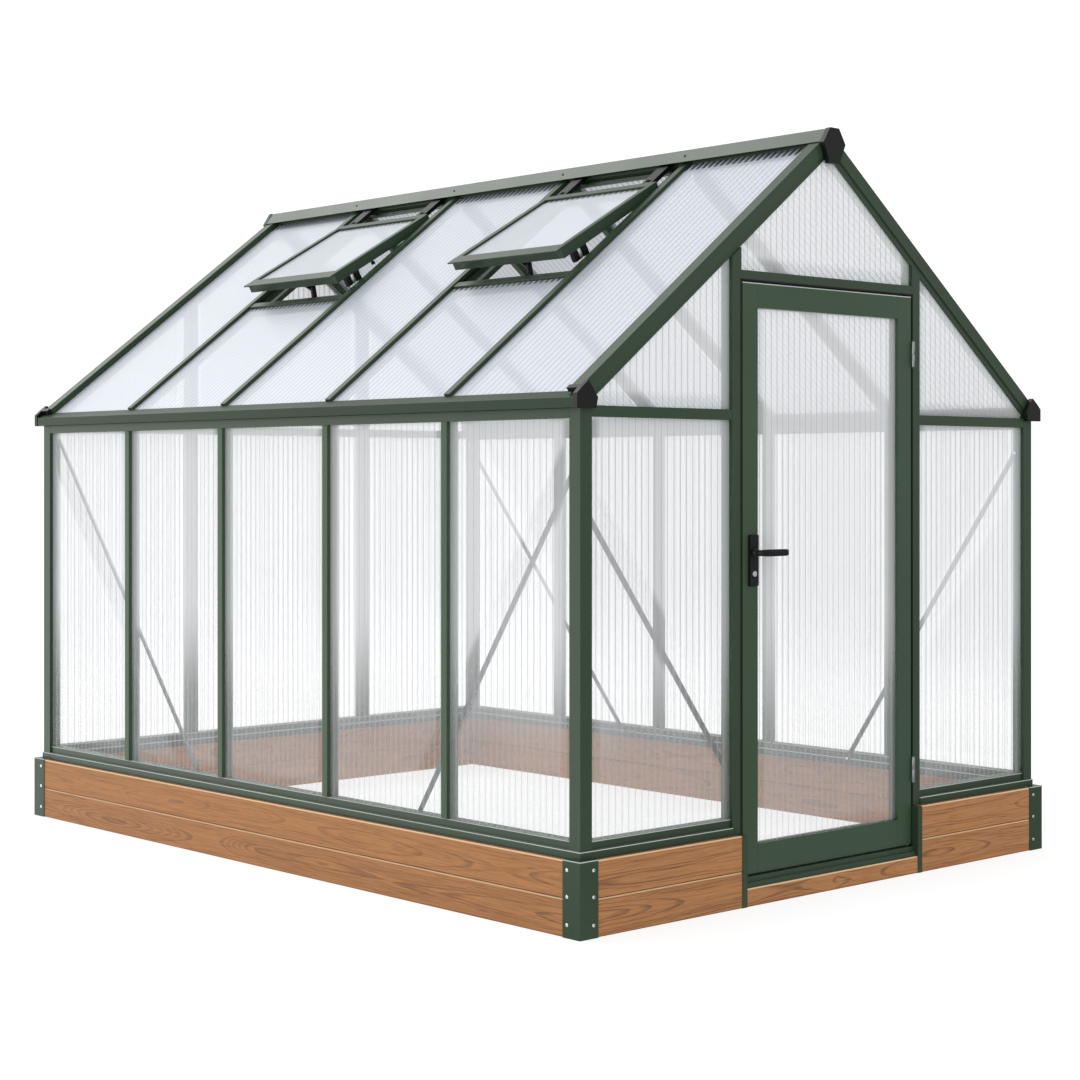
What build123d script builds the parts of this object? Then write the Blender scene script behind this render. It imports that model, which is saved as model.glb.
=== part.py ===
from build123d import *

import os
from math import atan2, cos, degrees, hypot, radians, sin, tan

# Apex greenhouse: timber base, coated aluminium frame, twin-wall sheets, hinged door and two roof vents.
# Millimetres, +Z up. The origin is on the ground at the middle of the base, X runs across the width and
# Y along the length. The door gable faces -Y and the roof vents are on the -X slope.
# On a roof slope, u is the distance down the slope from the apex line and n the height above the bars' tops.

# Overall frame
frame_width = 2360.0  # over the outer faces of the corner posts
frame_length = 3250.0  # over the outer faces of the corner posts
bay_count = 5  # equal bays along each side
wall_top = 1622.0  # top of the corner posts
eave_height = 1673.0  # tops of the roof bars above the outer faces of the side walls
roof_pitch = 37.5  # degrees

# Timber base
plank_height = 118.0
plank_thickness = 44.0
plank_chamfer = 4.0
base_overhang = 25.0  # planks stand out past the frame
bracket_leg = 78.0
bracket_thickness = 3.0
bolt_inset = 57.0  # from the bracket's corner
bolt_height_low = 41.0
bolt_height_middle = 127.0
bolt_height_high = 209.0
bolt_shank = 6.0
bolt_head = 12.0
bolt_head_height = 4.0
bolt_length = 30.0
bolt_clearance = 0.2
bracket_flange_gap = 1.0  # bracket's top flange to the sill's lip

# Frame members
frame_depth = 50.0  # every member's depth from its outer face inwards, and the corner posts' width
outer_flange = 14.0  # from a member's outer face to the sheet
section_wall = 2.0
joint_gap = 0.2  # where the end of one member butts another
bar_width = 30.0
groove_depth = 11.0
sill_height = 54.0
sill_lip_height = 27.0
sill_lip_out = 4.0
sill_recess = 8.0
head_rail_height = 32.0
gable_rail_height = 35.0
gable_rail_top = 1630.0
gutter_out = 30.0  # past the frame's outer face
gutter_face = 31.0  # height of the outer face
gutter_drop = 8.0  # top plate below the tops of the roof bars
gutter_plate = 14.0  # how far up the slope the top plate reaches past the wall's outer face
rafter_rise = 10.0  # gable rafters stand above the roof bars
rafter_depth = 64.0
rafter_step = 6.0
rafter_step_height = 19.0
ridge_top_rise = 22.0  # above the apex line
ridge_top_half = 22.0
ridge_cap_half = 56.0
ridge_cap_lift = 13.0  # underside of the cap above the roof bars
ridge_body_half = 22.0
ridge_body_drop = 56.0  # body's underside below the apex line
end_cap_thickness = 20.0
end_cap_margin = 2.0
end_cap_rise = 6.0  # gutter end caps stand above the rafters
end_cap_hood = 18.0  # how far they reach down the slope past the rafters' feet
end_cap_reach = 20.0  # and how far up the slope in front of the rafters
end_cap_shoulder = 13.0  # their outer edge above the gutter's outer face
ridge_cap_foot_half = 26.0
ridge_cap_drop = 98.0  # ridge end caps' undersides below the apex line

# Twin-wall sheets
panel_thickness = 10.0
panel_clearance = 0.3  # each face to its groove
panel_edge_gap = 1.0  # sheet's edge to the bottom of its groove
flute_pitch = 24.0
sheet_skin = 0.8
sheet_web = 0.8

# Braces
brace_width = 20.0
brace_thickness = 3.0
front_brace_drop = 122.0  # below the top of the corner post
front_brace_reach = 852.0  # along the wall from the frame's front
rear_brace_drop = 60.0
rear_brace_reach = 1098.0
gable_brace_drop = 272.0
gable_brace_height = 160.0  # lower end above the sill
brace_bolt_head = 11.0
brace_bolt_head_height = 3.5

# Door
door_width = 890.0
door_height = 1950.0
door_thickness = 40.0
door_gap = 6.0  # round the leaf
door_stile = 75.0
door_top_rail = 82.0
door_bottom_rail = 95.0
door_lip = 12.0  # outer face to the sheet
door_post_width = 44.0
header_height = 33.0
threshold_plank_height = 60.0
threshold_rail_height = 35.0
threshold_step = 8.0
doorway_trim_width = 24.0
doorway_trim_out = 2.0
stop_width = 18.0
stop_clearance = 0.5

# Door hinges
hinge_height = 90.0
hinge_from_top = 205.0  # leaf's top to the hinge's middle
hinge_from_bottom = 266.0
hinge_knuckle_radius = 6.5
hinge_pin_radius = 3.5
hinge_pin_clearance = 0.05
hinge_axis_out = 7.0  # in front of the leaf's outer face
hinge_leaf_thickness = 2.0
hinge_leaf_width = 26.0
hinge_clearance = 0.3

# Door handle and lock
lever_height = 1058.0  # above the leaf's bottom
handle_inset = 48.0  # from the leaf's latch edge
backplate_width = 42.0
backplate_height = 170.0
backplate_thickness = 9.0
backplate_corner = 6.0
backplate_above_lever = 60.0
lever_spindle_radius = 5.0
lever_clearance = 0.05
lever_reach = 125.0
lever_height_size = 18.0
lever_thickness = 14.0
lever_standoff = 38.0  # grip's middle from the backplate's face
lever_hub_radius = 11.0
lever_neck_radius = 8.0
lever_corner = 6.0
cylinder_drop = 69.0  # below the lever
cylinder_radius = 9.0
cylinder_proud = 3.0
plug_radius = 5.0
plug_clearance = 0.05
plug_proud = 1.0
key_slot_width = 2.0
key_slot_depth = 6.0
key_slot_height = 7.0
lock_case_thickness = 20.0
lock_case_height = 170.0
lock_case_below_lever = 115.0
lock_case_depth = 54.0
latch_width = 12.0
latch_height = 16.0
latch_reach = 5.0  # past the leaf's edge
latch_length = 34.0
latch_bevel = 4.0
deadbolt_height = 24.0
deadbolt_length = 30.0
deadbolt_travel = 18.0
bolt_slide_gap = 0.3
strike_thickness = 2.0
strike_height = 190.0
strike_width = 26.0

# Roof vents
vent_bays = (2, 4)  # counted from the door gable
vent_open_angle = 7.5  # degrees, as the stays hold them
hinge_line_u = 168.0
hinge_line_n = -2.0
sash_side_gap = 17.0  # each side, to the roof bars
sash_top_gap = 18.0  # hinge line to the sash
sash_length = 548.0
sash_rail = 34.0
sash_stile = 26.0
sash_depth = 40.0
sash_rise = 12.0  # top above the hinge line
sash_lip = 8.0
sash_drip_length = 22.0
sash_drip_thickness = 5.0
crossbar_seat = 40.0
crossbar_curb = 30.0
crossbar_top = -4.0
seat_clearance = 0.5
curb_clearance = 4.0
trimmer_inset = 40.0
trimmer_width = 30.0
vent_hinge_inset = 64.0  # sash's side to the strap's middle
strap_width = 24.0
hinge_ear_width = 14.0
vent_knuckle_radius = 8.0
vent_pin_radius = 4.0
vent_pin_clearance = 0.05
vent_hinge_clearance = 0.3
strap_thickness = 8.0

# Folding stays under the vents
stay_arm_length = 62.0
stay_arm_radius = 10.0
stay_arm_thickness = 12.0
stay_arm_gap = 0.6  # between the two arms
stay_pin_radius = 4.0
stay_pin_clearance = 0.05
stay_ear = 6.0
stay_ear_radius = 9.0
stay_ear_gap = 0.4
stay_foot_inset = 14.0  # pivot up the slope from the crossbar
stay_foot_level = -62.0  # pivot below the bars' tops
stay_lug_inset = 14.0  # pivot up the slope from the sash's lower rail
stay_lug_level = -17.5  # pivot from the hinge line, across the sash
elbow_rivet_radius = 7.0
elbow_rivet_height = 3.0

# Vent catches, under the front side of each sash
catch_height = 38.0
catch_width = 18.0
catch_block = 24.0
catch_gap = 26.0
catch_from_bottom = 46.0
catch_stud_radius = 9.0
catch_inset = 2.0  # from the sash's side

# Worked out from the sizes above
half_width = frame_width / 2
half_length = frame_length / 2
bay_pitch = frame_length / bay_count
base_half_width = half_width + base_overhang
base_half_length = half_length + base_overhang
base_top = 2 * plank_height + joint_gap
sill_top = base_top + sill_height
slope_cos = cos(radians(roof_pitch))
slope_sin = sin(radians(roof_pitch))
apex = eave_height + half_width * tan(radians(roof_pitch))
slot = panel_thickness + 2 * panel_clearance
slot_inner = outer_flange + slot
panel_depth = outer_flange + slot / 2  # outer face to the sheet's middle
panel_engagement = groove_depth - panel_edge_gap
inner_half_width = half_width - frame_depth
inner_half_length = half_length - frame_depth
slope_end = half_width / slope_cos - gutter_plate  # u where the roof bars meet the gutter
ridge_bottom = apex - ridge_body_drop
gable_rail_bottom = gable_rail_top - gable_rail_height
head_rail_bottom = wall_top - head_rail_height
doorway_half = door_width / 2 + door_gap
door_post_outer = doorway_half + door_post_width
threshold_top = threshold_plank_height + threshold_rail_height
door_bottom = threshold_top + door_gap
door_top = door_bottom + door_height
header_bottom = door_top + door_gap
header_top = header_bottom + header_height
door_front = -half_length
door_back = door_front + door_thickness
far = 2 * (frame_width + frame_length)  # longer than anything that it cuts


def span(middle, size):
    """The two ends of a length about its middle."""
    return (middle - size / 2, middle + size / 2)


def sided(side, near, away):
    """A span from near to away, on the plus or the minus side."""
    return (side * near, side * away)


def block(x_span, y_span, z_span, mode=Mode.ADD):
    """A box between two corners, square to the axes."""
    spans = (x_span, y_span, z_span)
    middle = [sum(ends) / 2 for ends in spans]
    size = [abs(ends[1] - ends[0]) for ends in spans]
    with Locations(tuple(middle)):
        Box(*size, mode=mode)


def slope_plane(side, n=0.0):
    """A roof slope's plane, n above the roof bars: local Y is u and local Z is outwards."""
    normal = Vector(side * slope_sin, 0, slope_cos)
    return Plane(origin=Vector(0, 0, apex) + normal * n, x_dir=(0, -side, 0), z_dir=normal)


def slope_block(side, y_span, u_span, n_span, mode=Mode.ADD):
    """A box square to a roof slope."""
    with BuildSketch(slope_plane(side, min(n_span))) as outline:
        with Locations((-side * sum(y_span) / 2, sum(u_span) / 2)):
            Rectangle(abs(y_span[1] - y_span[0]), abs(u_span[1] - u_span[0]))
    extrude(outline.sketch, amount=abs(n_span[1] - n_span[0]), mode=mode)


def slope_point(u, n):
    """X and Z of a point on the -X slope."""
    return (-u * slope_cos - n * slope_sin, apex - u * slope_sin + n * slope_cos)


def upright_plane(y):
    """The upright plane across the width at y: local X is X and local Y is Z, and it faces -Y."""
    return Plane.XZ.offset(-y)


def prism(points, y_span, mode=Mode.ADD):
    """An outline in X and Z, drawn along Y."""
    with BuildSketch(upright_plane(max(y_span))) as outline:
        with BuildLine():
            Polyline(*points, close=True)
        make_face()
    extrude(outline.sketch, amount=abs(y_span[1] - y_span[0]), mode=mode)


def pin_along_y(centre, radius, y_span, mode=Mode.ADD):
    """A round pin or bore along Y about a point in X and Z."""
    with BuildSketch(upright_plane(max(y_span))) as outline:
        with Locations(centre):
            Circle(radius)
    extrude(outline.sketch, amount=abs(y_span[1] - y_span[0]), mode=mode)


def pin_along_z(centre, radius, z_span, mode=Mode.ADD):
    """A round pin or bore along Z about a point in X and Y."""
    with BuildSketch(Plane.XY.offset(min(z_span))) as outline:
        with Locations(centre):
            Circle(radius)
    extrude(outline.sketch, amount=abs(z_span[1] - z_span[0]), mode=mode)


def fluted_sheet(plane, width, length):
    """A twin-wall sheet centred on a plane, with its flutes along the plane's Y."""
    end = Plane(origin=plane.origin - plane.y_dir * (length / 2), x_dir=plane.x_dir, z_dir=plane.y_dir)
    flutes = int((width - sheet_web) / flute_pitch)
    with BuildSketch(end) as section:
        Rectangle(width, panel_thickness)
        with GridLocations(flute_pitch, flute_pitch, flutes, 1):
            Rectangle(flute_pitch - sheet_web, panel_thickness - 2 * sheet_skin, mode=Mode.SUBTRACT)
    extrude(section.sketch, amount=length)


def above_roof(y_span, n):
    """Cuts away what stands more than n above the tops of the roof bars."""
    for side in (-1, 1):
        slope_block(side, y_span, (-far, far), (n, far), Mode.SUBTRACT)


def bar_centres():
    """Y of the glazing bars between the bays."""
    return [-half_length + bay_pitch * number for number in range(1, bay_count)]


def bay_clear(number):
    """Y span between the members on either side of a bay, counted from the door gable."""
    start = -half_length + bay_pitch * (number - 1) + bar_width / 2
    end = -half_length + bay_pitch * number - bar_width / 2
    return (max(start, -inner_half_length), min(end, inner_half_length))


def widened(ends, amount):
    """A span made longer by an amount at both ends."""
    return (min(ends) - amount, max(ends) + amount)


# Timber base: two courses of planks, the sides full length and the gables between them
side_inner = base_half_width - plank_thickness
end_inner = base_half_length - plank_thickness
trim_outer = doorway_half + doorway_trim_width
courses = ((0, plank_height), (base_top - plank_height, base_top))
flange_inner_x = half_width + sill_lip_out + bracket_flange_gap
flange_inner_y = half_length + sill_lip_out + bracket_flange_gap


def bolt_holes():
    """Cuts the bracket bolts' holes through whatever is there."""
    radius = bolt_shank / 2 + bolt_clearance
    for plane in bolt_planes():
        with BuildSketch(plane) as outline:
            Circle(radius)
        extrude(outline.sketch, amount=-(bolt_length + bolt_clearance), mode=Mode.SUBTRACT)


def bolt_planes():
    """One plane per bracket bolt, on the bracket's face and facing out."""
    across = base_half_width + bracket_thickness
    along = base_half_length + bracket_thickness
    planes = []
    for side in (-1, 1):
        for end in (-1, 1):
            for height in (bolt_height_low, bolt_height_middle, bolt_height_high):
                on_side = (side * across, end * (along - bolt_inset), height)
                on_end = (side * (across - bolt_inset), end * along, height)
                planes.append(Plane(origin=on_side, x_dir=(0, 1, 0), z_dir=(side, 0, 0)))
                planes.append(Plane(origin=on_end, x_dir=(1, 0, 0), z_dir=(0, end, 0)))
    return planes


def outer_edges(part, axis):
    """The long edges of planks, which are chamfered."""
    return part.edges().filter_by(axis)


with BuildPart() as base_planks_side:
    for side in (-1, 1):
        for course in courses:
            block(sided(side, side_inner, base_half_width), span(0, 2 * base_half_length), course)
    chamfer(outer_edges(base_planks_side, Axis.Y), plank_chamfer)
    bolt_holes()

with BuildPart() as base_planks_back:
    for course in courses:
        block(span(0, 2 * side_inner), (end_inner, base_half_length), course)
    chamfer(outer_edges(base_planks_back, Axis.X), plank_chamfer)
    bolt_holes()

with BuildPart() as base_planks_front:
    for side in (-1, 1):
        for course in courses:
            block(sided(side, trim_outer, side_inner), (-base_half_length, -end_inner), course)
    chamfer(outer_edges(base_planks_front, Axis.X), plank_chamfer)
    bolt_holes()

with BuildPart() as threshold_plank:
    block(span(0, 2 * doorway_half), (-base_half_length, -end_inner), (0, threshold_plank_height))
    chamfer(outer_edges(threshold_plank, Axis.X), plank_chamfer)

with BuildPart() as corner_brackets:
    for side in (-1, 1):
        for end in (-1, 1):
            outer_x = base_half_width + bracket_thickness
            outer_y = base_half_length + bracket_thickness
            leg_x = sided(side, outer_x - bracket_leg, outer_x)
            leg_y = sided(end, outer_y - bracket_leg, outer_y)
            leg_z = (0, base_top + bracket_thickness)
            flange_z = (base_top, base_top + bracket_thickness)
            block(leg_x, sided(end, base_half_length, outer_y), leg_z)
            block(sided(side, base_half_width, outer_x), leg_y, leg_z)
            block(leg_x, sided(end, flange_inner_y, outer_y), flange_z)
            block(sided(side, flange_inner_x, outer_x), leg_y, flange_z)
    bolt_holes()

with BuildPart() as base_bolt:
    Cylinder(bolt_head / 2, bolt_head_height, align=(Align.CENTER, Align.CENTER, Align.MIN))
    fillet(base_bolt.edges().group_by(Axis.Z)[-1], bolt_head_height * 0.6)
    with Locations((0, 0, -bolt_length / 2)):
        Cylinder(bolt_shank / 2, bolt_length)

with BuildPart() as base_bolts:
    with Locations(*bolt_planes()):
        add(base_bolt.part)

with BuildPart() as doorway_trims:
    for side in (-1, 1):
        trim_front = -base_half_length - doorway_trim_out
        block(sided(side, doorway_half, trim_outer), (trim_front, -end_inner), (0, base_top))

# Sills on the planks: a lip in front, a groove for the sheets behind it
with BuildPart() as sills:
    lip_z = (base_top, base_top + sill_lip_height)
    full_z = (base_top, sill_top)
    groove_z = (sill_top - groove_depth, sill_top)
    inner_bore_z = (base_top + section_wall, sill_top - section_wall)
    inner_bore = (slot_inner + section_wall, frame_depth - section_wall)
    outer_bore_z = (base_top + section_wall, sill_top - groove_depth - section_wall)
    outer_bore = (sill_recess + section_wall, slot_inner)
    for side in (-1, 1):
        y_run = span(0, 2 * inner_half_length)
        block(sided(side, inner_half_width, half_width - sill_recess), y_run, full_z)
        block(sided(side, inner_half_width, half_width + sill_lip_out), y_run, lip_z)
        x_groove = sided(side, half_width - slot_inner, half_width - outer_flange)
        block(x_groove, y_run, groove_z, Mode.SUBTRACT)
        for near, away in (inner_bore, outer_bore):
            bore_z = inner_bore_z if near == inner_bore[0] else outer_bore_z
            block(sided(side, half_width - away, half_width - near), y_run, bore_z, Mode.SUBTRACT)
    front_runs = [sided(side, door_post_outer, inner_half_width) for side in (-1, 1)]
    gable_runs = [(-1, run) for run in front_runs] + [(1, span(0, 2 * inner_half_width))]
    for end, x_run in gable_runs:
        block(x_run, sided(end, inner_half_length, half_length - sill_recess), full_z)
        block(x_run, sided(end, inner_half_length, half_length + sill_lip_out), lip_z)
        y_groove = sided(end, half_length - slot_inner, half_length - outer_flange)
        block(x_run, y_groove, groove_z, Mode.SUBTRACT)
        for near, away in (inner_bore, outer_bore):
            bore_z = inner_bore_z if near == inner_bore[0] else outer_bore_z
            block(x_run, sided(end, half_length - away, half_length - near), bore_z, Mode.SUBTRACT)

with BuildPart() as threshold_rail:
    rail_y = (-base_half_length + threshold_step, -base_half_length + threshold_step + frame_depth)
    rail_x = span(0, 2 * doorway_half)
    block(rail_x, rail_y, (threshold_plank_height, threshold_top))
    step_y = (rail_y[0], rail_y[0] + threshold_step)
    block(rail_x, step_y, (threshold_top - threshold_rail_height / 2, threshold_top), Mode.SUBTRACT)
    bore_y = (step_y[1] + section_wall, rail_y[1] - section_wall)
    bore_z = (threshold_plank_height + section_wall, threshold_top - section_wall)
    block(rail_x, bore_y, bore_z, Mode.SUBTRACT)

# Upright members
with BuildPart() as corner_posts:
    post_z = (base_top, wall_top)
    for side in (-1, 1):
        for end in (-1, 1):
            block(sided(side, inner_half_width, half_width), sided(end, inner_half_length, half_length), post_z)
            collar_x = sided(side, inner_half_width, half_width + sill_lip_out)
            collar_y = sided(end, inner_half_length, half_length + sill_lip_out)
            block(collar_x, collar_y, lip_z)
    for side in (-1, 1):
        for end in (-1, 1):
            x_slot = sided(side, half_width - slot_inner, half_width - outer_flange)
            y_slot = sided(end, half_length - slot_inner, half_length - outer_flange)
            x_mouth = sided(side, inner_half_width, inner_half_width + groove_depth)
            y_mouth = sided(end, inner_half_length, inner_half_length + groove_depth)
            block(x_slot, y_mouth, post_z, Mode.SUBTRACT)
            block(x_mouth, y_slot, post_z, Mode.SUBTRACT)
            bore_x = sided(side, inner_half_width + groove_depth + section_wall, half_width - section_wall)
            bore_y = sided(end, inner_half_length + groove_depth + section_wall, half_length - section_wall)
            block(bore_x, bore_y, post_z, Mode.SUBTRACT)

with BuildPart() as wall_bars:
    bar_z = (sill_top, head_rail_bottom)
    for side in (-1, 1):
        for y in bar_centres():
            block(sided(side, inner_half_width, half_width), span(y, bar_width), bar_z)
    for side in (-1, 1):
        for y in bar_centres():
            x_slot = sided(side, half_width - slot_inner, half_width - outer_flange)
            for edge in (-1, 1):
                mouth = (y + edge * (bar_width / 2 - groove_depth), y + edge * bar_width / 2)
                block(x_slot, mouth, bar_z, Mode.SUBTRACT)
            bore_x = sided(side, inner_half_width + section_wall, half_width - slot_inner - section_wall)
            block(bore_x, span(y, bar_width - 2 * section_wall), bar_z, Mode.SUBTRACT)

with BuildPart() as head_rails:
    head_z = (head_rail_bottom, wall_top)
    for side in (-1, 1):
        y_run = span(0, 2 * inner_half_length)
        block(sided(side, inner_half_width, half_width), y_run, head_z)
        x_slot = sided(side, half_width - slot_inner, half_width - outer_flange)
        block(x_slot, y_run, (head_rail_bottom, head_rail_bottom + groove_depth), Mode.SUBTRACT)
        bore_x = sided(side, inner_half_width + section_wall, half_width - slot_inner - section_wall)
        bore_z = (head_rail_bottom + section_wall, wall_top - section_wall)
        block(bore_x, y_run, bore_z, Mode.SUBTRACT)

# Eaves: closed gutter beams along the walls, with a groove for the lower ends of the roof sheets
gutter_outer = half_width + gutter_out
gutter_outer_u = (gutter_outer + gutter_drop * slope_sin) / slope_cos
gutter_foot_n = (inner_half_width - slope_end * slope_cos) / slope_sin
gutter_outline = [
    (-gutter_outer, wall_top),
    (-gutter_outer, wall_top + gutter_face),
    slope_point(slope_end, -gutter_drop),
    slope_point(slope_end, gutter_foot_n),
    (-inner_half_width, wall_top),
]

with BuildPart() as gutters:
    prism(gutter_outline, span(0, frame_length))
    groove_u = (slope_end, slope_end + groove_depth)
    slope_block(-1, span(0, frame_length), groove_u, (-slot_inner, -outer_flange), Mode.SUBTRACT)
    bore_top_n = -gutter_drop - section_wall
    bore_under_n = -slot_inner - section_wall
    behind_groove = slope_end + groove_depth + section_wall
    bore_outline = [
        (-gutter_outer + section_wall, wall_top + section_wall),
        slope_point(gutter_outer_u - 2 * section_wall, bore_top_n),
        slope_point(behind_groove, bore_top_n),
        slope_point(behind_groove, bore_under_n),
        slope_point(slope_end + section_wall, bore_under_n),
        (-inner_half_width - section_wall, wall_top + section_wall),
    ]
    prism(bore_outline, span(0, frame_length), Mode.SUBTRACT)
    mirror(about=Plane.YZ)

cap_top_n = rafter_rise + end_cap_rise
cap_hood_u = slope_end + end_cap_hood
cap_inner_u = slope_end - end_cap_reach
cap_outline = [
    (-gutter_outer - end_cap_margin, wall_top - end_cap_margin),
    (-gutter_outer - end_cap_margin, wall_top + gutter_face + end_cap_shoulder),
    slope_point(cap_hood_u, cap_top_n),
    slope_point(cap_inner_u, cap_top_n),
    slope_point(cap_inner_u, -frame_depth),
    (-inner_half_width, wall_top - end_cap_margin),
]
hood_outline = [
    slope_point(slope_end + joint_gap, joint_gap - gutter_drop),
    slope_point(cap_hood_u, 0),
    slope_point(cap_hood_u, cap_top_n),
    slope_point(slope_end + joint_gap, cap_top_n),
]

with BuildPart() as gutter_end_caps:
    for end in (-1, 1):
        prism(cap_outline, sided(end, half_length, half_length + end_cap_thickness))
        prism(hood_outline, sided(end, inner_half_length, half_length))
    mirror(about=Plane.YZ)

# Roof bars, gable rafters and ridge
ridge_start_u = ridge_body_half / slope_cos
all_along = span(0, far)


def under_ridge():
    """Cuts the upper ends of roof members off at the sides of the ridge beam's body."""
    block(span(0, 2 * ridge_body_half), all_along, span(apex, far), Mode.SUBTRACT)


with BuildPart() as roof_bars:
    bar_u = (ridge_start_u, slope_end)
    slot_n = (-slot_inner, -outer_flange)
    bore_n = (-frame_depth + section_wall, -slot_inner - section_wall)
    for side in (-1, 1):
        for y in bar_centres():
            slope_block(side, span(y, bar_width), bar_u, (-frame_depth, 0))
    for side in (-1, 1):
        for y in bar_centres():
            for edge in (-1, 1):
                mouth = (y + edge * (bar_width / 2 - groove_depth), y + edge * bar_width / 2)
                slope_block(side, mouth, bar_u, slot_n, Mode.SUBTRACT)
            slope_block(side, span(y, bar_width - 2 * section_wall), bar_u, bore_n, Mode.SUBTRACT)
    under_ridge()

rafter_foot_n = rafter_rise - rafter_depth

with BuildPart() as gable_rafters:
    rafter_u = ((ridge_body_half - rafter_rise * slope_sin) / slope_cos, slope_end)
    for side in (-1, 1):
        for end in (-1, 1):
            full_y = sided(end, inner_half_length, half_length)
            slope_block(side, full_y, rafter_u, (rafter_foot_n, rafter_rise))
    for side in (-1, 1):
        for end in (-1, 1):
            step_y = sided(end, half_length - rafter_step, half_length)
            step_n = (rafter_foot_n, rafter_foot_n + rafter_step_height)
            slope_block(side, step_y, rafter_u, step_n, Mode.SUBTRACT)
            gable_y = sided(end, half_length - slot_inner, half_length - outer_flange)
            gable_n = (rafter_foot_n, rafter_foot_n + groove_depth)
            slope_block(side, gable_y, rafter_u, gable_n, Mode.SUBTRACT)
            roof_y = sided(end, inner_half_length, inner_half_length + groove_depth)
            slope_block(side, roof_y, rafter_u, (-slot_inner, -outer_flange), Mode.SUBTRACT)
            bore_y = sided(
                end, inner_half_length + groove_depth + section_wall, half_length - rafter_step - section_wall
            )
            bore_n = (rafter_foot_n + groove_depth + section_wall, rafter_rise - section_wall)
            slope_block(side, bore_y, rafter_u, bore_n, Mode.SUBTRACT)
    under_ridge()

cap_edge_z = apex - ridge_cap_half * tan(radians(roof_pitch)) + ridge_cap_lift / slope_cos
cap_root_z = apex - ridge_body_half * tan(radians(roof_pitch)) + ridge_cap_lift / slope_cos
ridge_top = apex + ridge_top_rise
roof_panel_top_u = (ridge_body_half - panel_engagement + panel_depth * slope_sin) / slope_cos

with BuildPart() as ridge_beam:
    right_side = [
        (ridge_top_half, ridge_top),
        (ridge_cap_half, cap_edge_z),
        (ridge_body_half, cap_root_z),
        (ridge_body_half, ridge_bottom),
    ]
    left_side = [(-x, z) for x, z in reversed(right_side)]
    prism(right_side + left_side, span(0, frame_length))
    for side in (-1, 1):
        groove_u = (roof_panel_top_u - panel_edge_gap, roof_panel_top_u + ridge_body_half)
        sheet_y = span(0, 2 * (inner_half_length + groove_depth))
        slope_block(side, sheet_y, groove_u, (-slot_inner, -outer_flange), Mode.SUBTRACT)
    bore_half = ridge_body_half - groove_depth - slot * slope_sin - section_wall
    block(span(0, 2 * bore_half), all_along, (ridge_bottom + section_wall, apex), Mode.SUBTRACT)
    groove_foot_z = apex - ridge_body_half * tan(radians(roof_pitch)) - slot_inner / slope_cos
    wide_bore_z = (ridge_bottom + section_wall, groove_foot_z - section_wall)
    block(span(0, 2 * (ridge_body_half - section_wall)), all_along, wide_bore_z, Mode.SUBTRACT)
    top_bore_z = (apex, ridge_top - section_wall)
    block(span(0, 2 * (ridge_top_half - section_wall)), all_along, top_bore_z, Mode.SUBTRACT)

with BuildPart() as ridge_end_caps:
    cap_right = [
        (ridge_top_half + end_cap_margin, ridge_top + end_cap_margin),
        (ridge_cap_half + end_cap_margin, cap_edge_z - end_cap_margin),
        (ridge_cap_foot_half, apex - ridge_cap_drop),
    ]
    cap_left = [(-x, z) for x, z in reversed(cap_right)]
    for end in (-1, 1):
        prism(cap_right + cap_left, sided(end, half_length, half_length + end_cap_thickness))

# Gable members
gable_front = (-half_length, -inner_half_length)
gable_slot = (-half_length + outer_flange, -half_length + slot_inner)
gable_bore = (-half_length + slot_inner + section_wall, -inner_half_length - section_wall)


def under_rafter(x):
    """Height of the rafters' undersides at a distance from the middle."""
    return apex - x * tan(radians(roof_pitch)) + rafter_foot_n / slope_cos


def gable_post(bottom):
    """The gable post on the -X side, from its foot up to the rafter."""
    outline = [
        (-door_post_outer, bottom),
        (-doorway_half, bottom),
        (-doorway_half, under_rafter(doorway_half)),
        (-door_post_outer, under_rafter(door_post_outer)),
    ]
    prism(outline, gable_front)
    upright = (bottom, bottom + far)
    block((-door_post_outer, -door_post_outer + groove_depth), gable_slot, upright, Mode.SUBTRACT)
    bore_x = (-door_post_outer + section_wall, -doorway_half - section_wall)
    block(bore_x, gable_bore, upright, Mode.SUBTRACT)


def gable_rail(x_run, top, height, grooves):
    """A rail across the front gable, with a sheet groove along its top, its bottom or both."""
    block(x_run, gable_front, (top - height, top))
    if "top" in grooves:
        block(x_run, gable_slot, (top - groove_depth, top), Mode.SUBTRACT)
    if "bottom" in grooves:
        block(x_run, gable_slot, (top - height, top - height + groove_depth), Mode.SUBTRACT)
    block(x_run, gable_bore, (top - height + section_wall, top - section_wall), Mode.SUBTRACT)


lock_y = door_front + door_thickness / 2
lever_z = door_bottom + lever_height
cylinder_z = lever_z - cylinder_drop
handle_x = -door_width / 2 + handle_inset
strike_middle = (lever_z + cylinder_z) / 2

with BuildPart() as door_posts:
    gable_post(base_top)
    over_door = (header_top - groove_depth, header_top + far)
    block((-doorway_half - groove_depth, -doorway_half), gable_slot, over_door, Mode.SUBTRACT)
    mirror(about=Plane.YZ)
    recess_x = (-doorway_half - strike_thickness, -doorway_half)
    block(recess_x, span(lock_y, strike_width), span(strike_middle, strike_height), Mode.SUBTRACT)
    pocket_x = (-doorway_half - deadbolt_travel, -doorway_half)
    pocket_y = span(lock_y, latch_width + 2 * bolt_slide_gap)
    pocket_z = span(cylinder_z, deadbolt_height + 2 * bolt_slide_gap)
    block(pocket_x, pocket_y, pocket_z, Mode.SUBTRACT)

with BuildPart() as strike_plate:
    block(recess_x, span(lock_y, strike_width), span(strike_middle, strike_height))
    block(recess_x, pocket_y, pocket_z, Mode.SUBTRACT)
    block(recess_x, pocket_y, span(lever_z, latch_height + 2 * bolt_slide_gap), Mode.SUBTRACT)

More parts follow.
